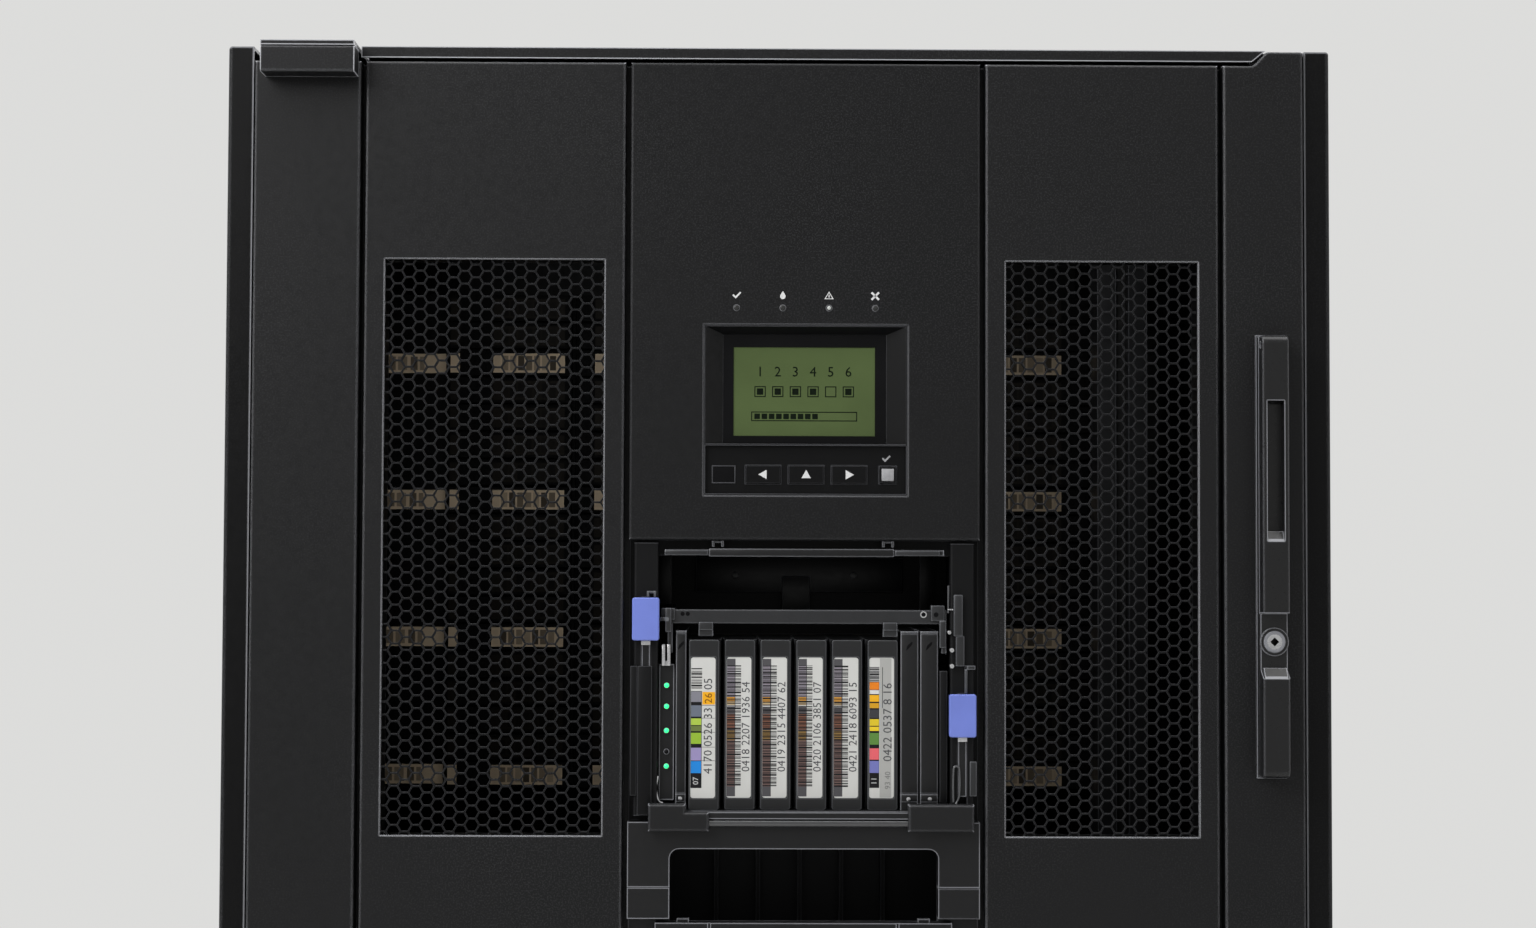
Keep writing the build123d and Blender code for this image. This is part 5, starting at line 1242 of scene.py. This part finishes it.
class TAPELIBRARY_OT_magazine(bpy.types.Operator):
    """Caps and feet of the magazine's walls, clamps and screws of the retaining bar, clips of the slides"""

    bl_idname = "tape_library.magazine"
    bl_label = "Magazine fittings"

    LEFT_WALL = 6.5 * MM
    RIGHT_WALL = 23.3 * MM
    WALL_SPLIT = 1.2 * MM
    LEFT_OVERHANG = 16.4 * MM
    RIGHT_OVERHANG = 21.5 * MM
    NOTCH = ((-2.2, -12.0), (-1.4, -9.0), (1.2, -6.6), (2.0, -6.8), (1.6, -8.4), (-0.8, -11.0))
    BAR_MIDDLE = 4.35 * MM
    RIM_SCREW = 14.2 * MM

    def execute(self, context):
        self.walls()
        self.bar()
        self.slides()
        return {"FINISHED"}

    def walls(self):
        """Wall fronts, feet and caps, with a dark notch of painted shade and a screw on each."""
        low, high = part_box("io_magazine")
        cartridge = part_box("io_cartridge_2")[0]
        front = cartridge.y
        left, right = low.x + self.LEFT_OVERHANG, high.x - self.RIGHT_OVERHANG
        inner = right - self.RIGHT_WALL
        half = (self.RIGHT_WALL - self.WALL_SPLIT) / 2
        bm, dark = bmesh.new(), bmesh.new()
        for start, end in ((left, left + self.LEFT_WALL), (inner, inner + half), (right - half, right)):
            foot_left, foot_right = Vector((start, front, cartridge.z)), Vector((end, front, cartridge.z))
            top_left, top_right = Vector((start, front, high.z)), Vector((end, front, high.z))
            add_box(bm, foot_left + mm(0.1, -0.8, 10.4), top_right + mm(-0.1, 2.0, -1.6), 0.5 * MM)
            add_box(bm, foot_left + mm(0.1, -0.6, 5.0), foot_right + mm(-0.1, 2.0, 10.0), 0.4 * MM)
            add_box(bm, top_left + mm(0.0, -1.4, -1.4), top_right + mm(0.0, 6.0, 0.0), 0.4 * MM)
            # Dark plate in front of each wall: painted shade where the notch is
            add_plate(dark, shifted(self.NOTCH, (start + end) / 2, high.z), front - 0.85 * MM, 0.3 * MM)
        put("magazine_wall_caps", bm, "black_plastic", "io_magazine")
        put("magazine_notch_shade", dark, "display_black", "io_magazine")
        bm = bmesh.new()
        for x in (left + 3 * MM, inner + 5 * MM, right - 5 * MM):
            add_stud(bm, x, cartridge.z + 7 * MM, front - 1.2 * MM, front, 1.3 * MM, bevel=0.3 * MM)
        put("magazine_screws", bm, "steel", "io_magazine")

    def bar(self):
        """End clamps, pad caps, screw holes of painted shade and a rim that move with the retaining bar."""
        low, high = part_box("retaining_bar")
        front, top = low.y, high.z
        middle_z = top - self.BAR_MIDDLE
        bm = bmesh.new()
        for x, bevel, box in (
            (low.x, 0.6, ((-4.0, -1.4, -8.0), (4.4, 3.0, -0.8))),
            (high.x, 0.8, ((-9.8, -2.4, -8.4), (-1.2, 4.0, 1.4))),
            (high.x, 0.6, ((-4.4, -2.2, -25.0), (-0.2, 3.0, -8.0))),
            (low.x, 0.6, ((19.2, -1.2, -14.4), (28.2, 2.0, -9.3))),
            (high.x, 0.6, ((-39.5, -1.2, -14.4), (-30.5, 2.0, -9.3))),
        ):
            add_boxes(bm, (x, front, top), bevel * MM, box)
        put("bar_clamps", bm, "bar_grey", "retaining_bar")
        # Dark studs as painted shade in the screw holes
        bm = bmesh.new()
        for x in (low.x + 9.2 * MM, low.x + 12.4 * MM, high.x - self.RIM_SCREW):
            add_stud(bm, x, middle_z, front - 0.12 * MM, front + MM, 1.3 * MM)
        add_stud(bm, high.x - 6.6 * MM, middle_z, front - 2.5 * MM, front, 1.5 * MM)
        put("bar_hole_shade", bm, "display_black", "retaining_bar")
        bm = bmesh.new()
        add_ring(bm, (high.x - self.RIM_SCREW, front, middle_z), 1.35 * MM, 2.1 * MM, 0.35 * MM)
        put("bar_screw_rim", bm, "steel", "retaining_bar")

    def slides(self):
        """Metal clip under each blue tab."""
        for node in ("left_release", "right_release"):
            spot = front_of(node)
            spot.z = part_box(node)[1].z
            bm = bmesh.new()
            add_boxes(bm, spot, 0.3 * MM, ((-2.9, 3.4, -29.4), (2.9, 4.9, -26.1)))
            put(f"{node}_clip", bm, "steel", node)


class TAPELIBRARY_OT_handle(bpy.types.Operator):
    """Collar round the key lock, and the facets below the scoop and the lock"""

    bl_idname = "tape_library.handle"
    bl_label = "Handle details"

    # Collar of three rings: depth behind the lock's face, inner and outer radius, height, in millimetres
    RINGS = ((1.8, 5.75, 8.9, 1.5), (0.5, 5.6, 6.5, 0.9), (-0.1, 4.7, 5.8, 0.3))
    SCOOP_DROP = 127.5 * MM
    GRIP_RISE = 62.0 * MM

    def execute(self, context):
        bm = bmesh.new()
        for depth, inner, outer, height in self.RINGS:
            add_ring(bm, lock_axis() + mm(0.0, depth, 0.0), inner * MM, outer * MM, height * MM)
        put("lock_ring", bm, "handle_plastic", DOOR)
        low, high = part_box("handle_lever")
        spot = (front_of("handle_lever").x, low.y, high.z - self.SCOOP_DROP)
        self.facet("scoop_facet", "handle_lever", 5.2 * MM, spot, (4.75, 6.3), (9.0, 6.0))
        low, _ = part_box("handle_base")
        spot = (front_of("handle_lever").x, low.y, low.z + self.GRIP_RISE)
        self.facet("grip_facet", DOOR, 7.1 * MM, spot, (5.0, 6.5), (8.0, 5.0))
        return {"FINISHED"}

    def facet(self, name, body, half, spot, crest, root):
        """Wedge that lies on a ramp of the handle; crest and root are mm back from the front and up."""
        x, front, foot = spot
        outline = ((0.05, 0.05), crest, (root[0], crest[1]), root)
        bm = bmesh.new()
        rims = []
        for side in (-half, half):
            rim = [bm.verts.new((x + side, front + back * MM, foot + rise * MM)) for back, rise in outline]
            bm.faces.new(rim)
            rims.append(rim)
        left, right = rims
        for index in range(len(outline)):
            after = (index + 1) % len(outline)
            bm.faces.new((left[index], left[after], right[after], right[index]))
        put(name, bm, "handle_plastic", body)


class TAPELIBRARY_OT_rear(bpy.types.Operator):
    """Ports, vents, lamps, inlet pins and screws of the slide-out modules, and the rear panel's screws"""

    bl_idname = "tape_library.rear"
    bl_label = "Rear fittings"

    PULL_DEPTH = 15.7 * MM
    SCREW_INSET = 6.0 * MM
    # Sockets: offset to the side, width and height, in millimetres
    DRIVE_PORTS = ((-60, 14, 14), (-40, 14, 14), (-20, 14, 14))
    CONTROLLER_PORTS = ((-66, 15, 13), (-46, 15, 13), (-28, 12, 6), (-14, 12, 6))
    INLET_PINS = ((-7.0, 1.6), (7.0, 1.6), (0.0, -2.4))
    PANEL_INSET = 8.0 * MM

    def execute(self, context):
        for number, node in enumerate(DRIVES, 1):
            self.screws(node)
            self.ports(node, self.DRIVE_PORTS, 18)
            self.vents(node, 26, 18, 7.2)
            self.lamp(node, 66, 0)
            self.number(node, str(number), -64, -24)
        for number, node in enumerate(SUPPLIES, 1):
            self.screws(node)
            self.inlet(node)
            self.vents(node, 24, 16, 6.6)
            self.vents(node, -24, 16, 6.6)
            self.lamp(node, -22, 0)
            self.number(node, str(number), 66, 0)
        self.screws("controller_module")
        self.ports("controller_module", self.CONTROLLER_PORTS, 0)
        self.lamp("controller_module", 66, 8)
        self.panel_screws()
        return {"FINISHED"}

    def face(self, node):
        """Middle of a module's face plate."""
        spot = front_of(node)
        spot.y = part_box(node)[1].y - self.PULL_DEPTH
        return spot

    def screws(self, node):
        """Thumb screw near each end of the face plate."""
        x, y, z = self.face(node)
        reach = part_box(node)[1].x - x - self.SCREW_INSET
        bm = bmesh.new()
        for spot in (x - reach, x + reach):
            add_stud(bm, spot, z, y, y + 5 * MM, 3.6 * MM, segments=20, bevel=0.6 * MM)
            add_stud(bm, spot, z, y, y + 6 * MM, 2.2 * MM, bevel=0.4 * MM)
        put(f"{node}_screws", bm, "steel", node)

    def ports(self, node, sockets, rise):
        """Metal port shells with dark mouths of painted shade."""
        shells, mouths = bmesh.new(), bmesh.new()
        for offset, width, height in sockets:
            spot = self.face(node) + mm(offset, 0, rise)
            across, up = width / 2, height / 2
            add_boxes(shells, spot, 0.4 * MM, ((-across - 1, -0.5, -up - 1), (across + 1, 1.6, up + 1)))
            # Dark box in each shell: painted shade in the socket's mouth
            add_boxes(mouths, spot, 0.2 * MM, ((-across, 0.0, -up), (across, 1.75, up)))
        put(f"{node}_port_shells", shells, "steel", node)
        put(f"{node}_port_mouth_shade", mouths, "display_black", node)

    def vents(self, node, rise, count, pitch):
        """Row of vent slots, drawn as dark plates of painted shade."""
        x, y, z = self.face(node)
        low, high = z + (rise - 6) * MM, z + (rise + 6) * MM
        bm = bmesh.new()
        for index in range(count):
            spot = x + (index - (count - 1) / 2) * pitch * MM
            points = rounded(spot - 1.6 * MM, spot + 1.6 * MM, low, high, 1.5 * MM, 3)
            add_plate(bm, points, y - 0.4 * MM, 0.5 * MM)
        row = "upper" if rise > 0 else "lower"
        put(f"{node}_vents_{row}", bm, "display_black", node)

    def lamp(self, node, offset, rise):
        """Green lamp on the face plate."""
        bm = bmesh.new()
        add_lens(bm, self.face(node) + mm(offset, 0, rise), 1.6 * MM, 0.9 * MM)
        put(f"{node}_lamp", bm, "lamp_lit", node)

    def number(self, node, words, offset, rise):
        """Plain number of the module."""
        _, sizes = settings()
        spot = self.face(node) + mm(offset, 0, rise)
        spot.y += sizes.print_height / 2
        bm = bmesh.new()
        add_digits(bm, words, 7 * MM, Matrix.Translation(spot) @ FACE_BACK, sizes.print_height)
        put(f"{node}_number", bm, "picker_plastic", node)

    def inlet(self, node):
        """Three pins and the rim of the mains inlet."""
        spot = self.face(node) + mm(-50, 0, 0)
        bm = bmesh.new()
        for across, up in self.INLET_PINS:
            add_boxes(bm, spot, 0.3 * MM, ((across - 1, -15.0, up - 2), (across + 1, -3.0, up + 2)))
        put(f"{node}_inlet_pins", bm, "brass", node)
        bm = bmesh.new()
        for left, right, low, high in strokes(-15.0, 15.0, -10.8, 10.8, 2.4, 2.0):
            add_boxes(bm, spot, 0.4 * MM, ((left, -1.0, low), (right, 1.6, high)))
        put(f"{node}_inlet_rim", bm, "black_plastic", node)

    def panel_screws(self):
        """Pan-head screws round the rear panel's sides and top."""
        _, sizes = settings()
        low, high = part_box("rear_panel")
        left, right = low.x + self.PANEL_INSET, high.x - self.PANEL_INSET
        foot, top = low.z + self.PANEL_INSET, high.z - self.PANEL_INSET
        spots = []
        for step in range(7):
            z = foot + (top - foot) * step / 6
            spots += [(left, z), (right, z)]
        for step in range(1, 4):
            spots.append((left + (right - left) * step / 4, top))
        bm = bmesh.new()
        ends = (high.y - 0.2 * MM, high.y + 1.8 * MM)
        for x, z in spots:
            add_stud(bm, x, z, *ends, sizes.screw_radius, segments=20, bevel=0.9 * MM)
        put("rear_panel_screws", bm, "zinc_sheet", CABINET)


class TAPELIBRARY_OT_picker(bpy.types.Operator):
    """Drive belt, motors, scanner and finger pads of the picker, and the rubber of the feet"""

    bl_idname = "tape_library.picker"
    bl_label = "Picker fittings"

    FOOT_RADIUS = 20.0 * MM

    def execute(self, context):
        self.column()
        self.motors()
        self.gripper()
        self.feet()
        return {"FINISHED"}

    def column(self):
        """Lift belt in the slots of the column."""
        low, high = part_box("picker_column")
        x = (low.x + high.x) / 2
        bm = bmesh.new()
        for y in (low.y + 4.6 * MM, high.y - 6.4 * MM):
            foot, top = Vector((x, y, low.z)), Vector((x, y, high.z))
            add_box(bm, foot + mm(-3.4, 0.0, 20.0), top + mm(3.4, 1.8, -20.0), 0.3 * MM)
        put("picker_belt", bm, "rubber", CABINET)

    def motors(self):
        """Lift motor under the carriage's collar and the shuttle's own small motor."""
        low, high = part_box("picker_carriage")
        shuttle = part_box("picker_shuttle")[0]
        for name, x, corner, rise, reach, radius, node in (
            ("lift_motor", high.x - 31 * MM, low, 12.0, 24.0, 11.0, "picker_carriage"),
            ("shuttle_motor", front_of("picker_shuttle").x, shuttle, 16.0, 25.5, 10.0, "picker_shuttle"),
        ):
            bm = bmesh.new()
            ends = (corner.y + 0.5 * MM, corner.y - reach * MM)
            add_stud(bm, x, corner.z + rise * MM, *ends, radius * MM, bevel=1.5 * MM)
            put(name, bm, "picker_plastic", node)

    def gripper(self):
        """Red scanner window and rubber pads inside the jaws."""
        low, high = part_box("picker_gripper")
        x = (low.x + high.x) / 2
        foot, top = Vector((x, high.y, low.z)), Vector((x, high.y, high.z))
        bm = bmesh.new()
        add_boxes(bm, foot, 0.4 * MM, ((-11.0, -34.6, 12.0), (11.0, -33.4, 20.0)))
        put("scanner_window", bm, "scanner_red", "picker_gripper")
        bm = bmesh.new()
        for left, right in ((-19.0, -18.2), (18.2, 19.0)):
            add_box(bm, foot + mm(left, -22.0, 4.0), top + mm(right, -2.0, -4.0), 0.25 * MM)
        put("jaw_pads", bm, "rubber", "picker_gripper")

    def feet(self):
        """Rubber rim round each levelling foot."""
        low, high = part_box("levelling_feet")
        radius = self.FOOT_RADIUS
        bm = bmesh.new()
        for x in (low.x + radius, high.x - radius):
            for y in (low.y + radius, high.y - radius):
                ends = ((x, y, 0.0), (x, y, 4.5 * MM))
                add_rod(bm, *ends, radius + 0.6 * MM, segments=40, bevel=0.8 * MM)
        put("foot_rubbers", bm, "rubber", CABINET)


class TAPELIBRARY_OT_stage(bpy.types.Operator):
    """Camera, soft studio light and a pale floor"""

    bl_idname = "tape_library.stage"
    bl_label = "Stage"

    FLOOR_RADIUS = 3.0
    FLOOR_DROP = 0.5 * MM
    ROOM_LIGHT = 0.16
    # Soft lamps: name, place, point aimed at, width in metres and power in watts
    LAMPS = (
        ("key_light", (-2.0, -2.4, 2.2), (0.0, -0.4, 0.75), 1.6, 16.0),
        ("left_light", (-1.3, -1.6, 1.95), (-0.25, -0.4, 1.0), 1.2, 36.0),
        ("right_light", (2.5, -1.1, 1.2), (0.0, -0.4, 0.7), 1.4, 7.0),
        ("top_light", (0.0, -0.35, 2.6), (0.0, -0.4, 0.6), 2.4, 80.0),
        ("rear_light", (1.4, 2.6, 2.2), (0.0, 0.4, 0.6), 1.8, 46.0),
        ("rear_fill", (-2.2, 1.9, 1.4), (0.0, 0.3, 0.6), 1.6, 20.0),
        ("aisle_light", (0.0, -0.15, 1.06), (0.0, 0.19, 0.75), 0.5, 0.8),
    )

    def execute(self, context):
        stage = context.scene.tape_library_stage
        self.camera(stage)
        bm = bmesh.new()
        place = Matrix.Translation((0.0, 0.0, -self.FLOOR_DROP))
        bmesh.ops.create_circle(bm, cap_ends=True, radius=self.FLOOR_RADIUS, segments=96, matrix=place)
        mesh = bpy.data.meshes.new("floor")
        bm.to_mesh(mesh)
        bm.free()
        floor = bpy.data.objects.new("floor", mesh)
        context.scene.collection.objects.link(floor)
        Finish("floor_paint", stage.floor, 0.7, specular=0.2).mottle(2.0, 0.97)
        mesh.materials.append(Finish.made["floor_paint"])
        for lamp in self.LAMPS:
            self.lamp(*lamp)
        self.surroundings(stage)
        context.scene.view_settings.view_transform = "Standard"
        return {"FINISHED"}

    def camera(self, stage):
        """Camera at the stage's place, turned, tilted and rolled."""
        forward = Vector(
            (
                math.sin(stage.turn) * math.cos(stage.tilt),
                math.cos(stage.turn) * math.cos(stage.tilt),
                math.sin(stage.tilt),
            )
        )
        level = Vector((math.cos(stage.turn), -math.sin(stage.turn), 0.0))
        upright = level.cross(forward)
        right = level * math.cos(stage.roll) + upright * math.sin(stage.roll)
        up = upright * math.cos(stage.roll) - level * math.sin(stage.roll)
        data = bpy.data.cameras.new("camera")
        data.sensor_width = 36.0
        data.sensor_fit = "HORIZONTAL"
        data.lens = stage.lens
        camera = bpy.data.objects.new("camera", data)
        bpy.context.scene.collection.objects.link(camera)
        turn = Matrix((right, up, -forward)).transposed()
        camera.matrix_world = Matrix.Translation(stage.eye) @ turn.to_4x4()
        bpy.context.scene.camera = camera

    def lamp(self, name, place, aim, size, power):
        """Square area lamp that the camera doesn't see."""
        data = bpy.data.lights.new(name, "AREA")
        data.size = size
        data.energy = power
        lamp = bpy.data.objects.new(name, data)
        bpy.context.scene.collection.objects.link(lamp)
        lamp.location = place
        lamp.visible_camera = False
        lamp.rotation_mode = "QUATERNION"
        lamp.rotation_quaternion = (Vector(aim) - Vector(place)).to_track_quat("-Z", "Y")

    def surroundings(self, stage):
        """Dim even light, seen by the camera and in gloss as the floor's colour."""
        world = bpy.data.worlds.new("studio")
        world.use_nodes = True
        tree = world.node_tree
        light = tree.nodes["Background"]
        light.inputs["Color"].default_value = (1.0, 1.0, 1.0, 1.0)
        light.inputs["Strength"].default_value = self.ROOM_LIGHT
        seen = tree.nodes.new("ShaderNodeBackground")
        seen.inputs["Color"].default_value = (*stage.floor, 1.0)
        path = tree.nodes.new("ShaderNodeLightPath")
        mix = tree.nodes.new("ShaderNodeMixShader")
        rays = path.outputs["Is Camera Ray"]
        for name in ("Is Glossy Ray", "Is Transmission Ray"):
            either = tree.nodes.new("ShaderNodeMath")
            either.operation = "MAXIMUM"
            tree.links.new(rays, either.inputs[0])
            tree.links.new(path.outputs[name], either.inputs[1])
            rays = either.outputs["Value"]
        tree.links.new(rays, mix.inputs["Fac"])
        tree.links.new(light.outputs["Background"], mix.inputs[1])
        tree.links.new(seen.outputs["Background"], mix.inputs[2])
        tree.links.new(mix.outputs["Shader"], tree.nodes["World Output"].inputs["Surface"])
        bpy.context.scene.world = world


class TAPELIBRARY_PT_panel(bpy.types.Panel):
    """Sidebar list of the operators"""

    bl_idname = "TAPELIBRARY_PT_panel"
    bl_label = "Tape library"
    bl_space_type = "VIEW_3D"
    bl_region_type = "UI"
    bl_category = "Tape library"

    def draw(self, context):
        for operator in OPERATORS:
            self.layout.operator(operator.bl_idname)


OPERATORS = (
    TAPELIBRARY_OT_finishes,
    TAPELIBRARY_OT_stage,
    TAPELIBRARY_OT_grilles,
    TAPELIBRARY_OT_console,
    TAPELIBRARY_OT_screen,
    TAPELIBRARY_OT_lamps,
    TAPELIBRARY_OT_labels,
    TAPELIBRARY_OT_stored_labels,
    TAPELIBRARY_OT_bay,
    TAPELIBRARY_OT_magazine,
    TAPELIBRARY_OT_handle,
    TAPELIBRARY_OT_rear,
    TAPELIBRARY_OT_picker,
)
GROUPS = (LibraryColours, LibrarySizes, LibraryStage)


def register():
    for group in (*GROUPS, *OPERATORS, TAPELIBRARY_PT_panel):
        bpy.utils.register_class(group)
    bpy.types.Scene.tape_library_colours = PointerProperty(type=LibraryColours)
    bpy.types.Scene.tape_library_sizes = PointerProperty(type=LibrarySizes)
    bpy.types.Scene.tape_library_stage = PointerProperty(type=LibraryStage)


def unregister():
    del bpy.types.Scene.tape_library_stage
    del bpy.types.Scene.tape_library_sizes
    del bpy.types.Scene.tape_library_colours
    for group in (TAPELIBRARY_PT_panel, *reversed(OPERATORS), *reversed(GROUPS)):
        bpy.utils.unregister_class(group)


def main():
    register()
    for operator in OPERATORS:
        group, name = operator.bl_idname.split(".")
        getattr(getattr(bpy.ops, group), name)()


if __name__ == "__main__":
    main()
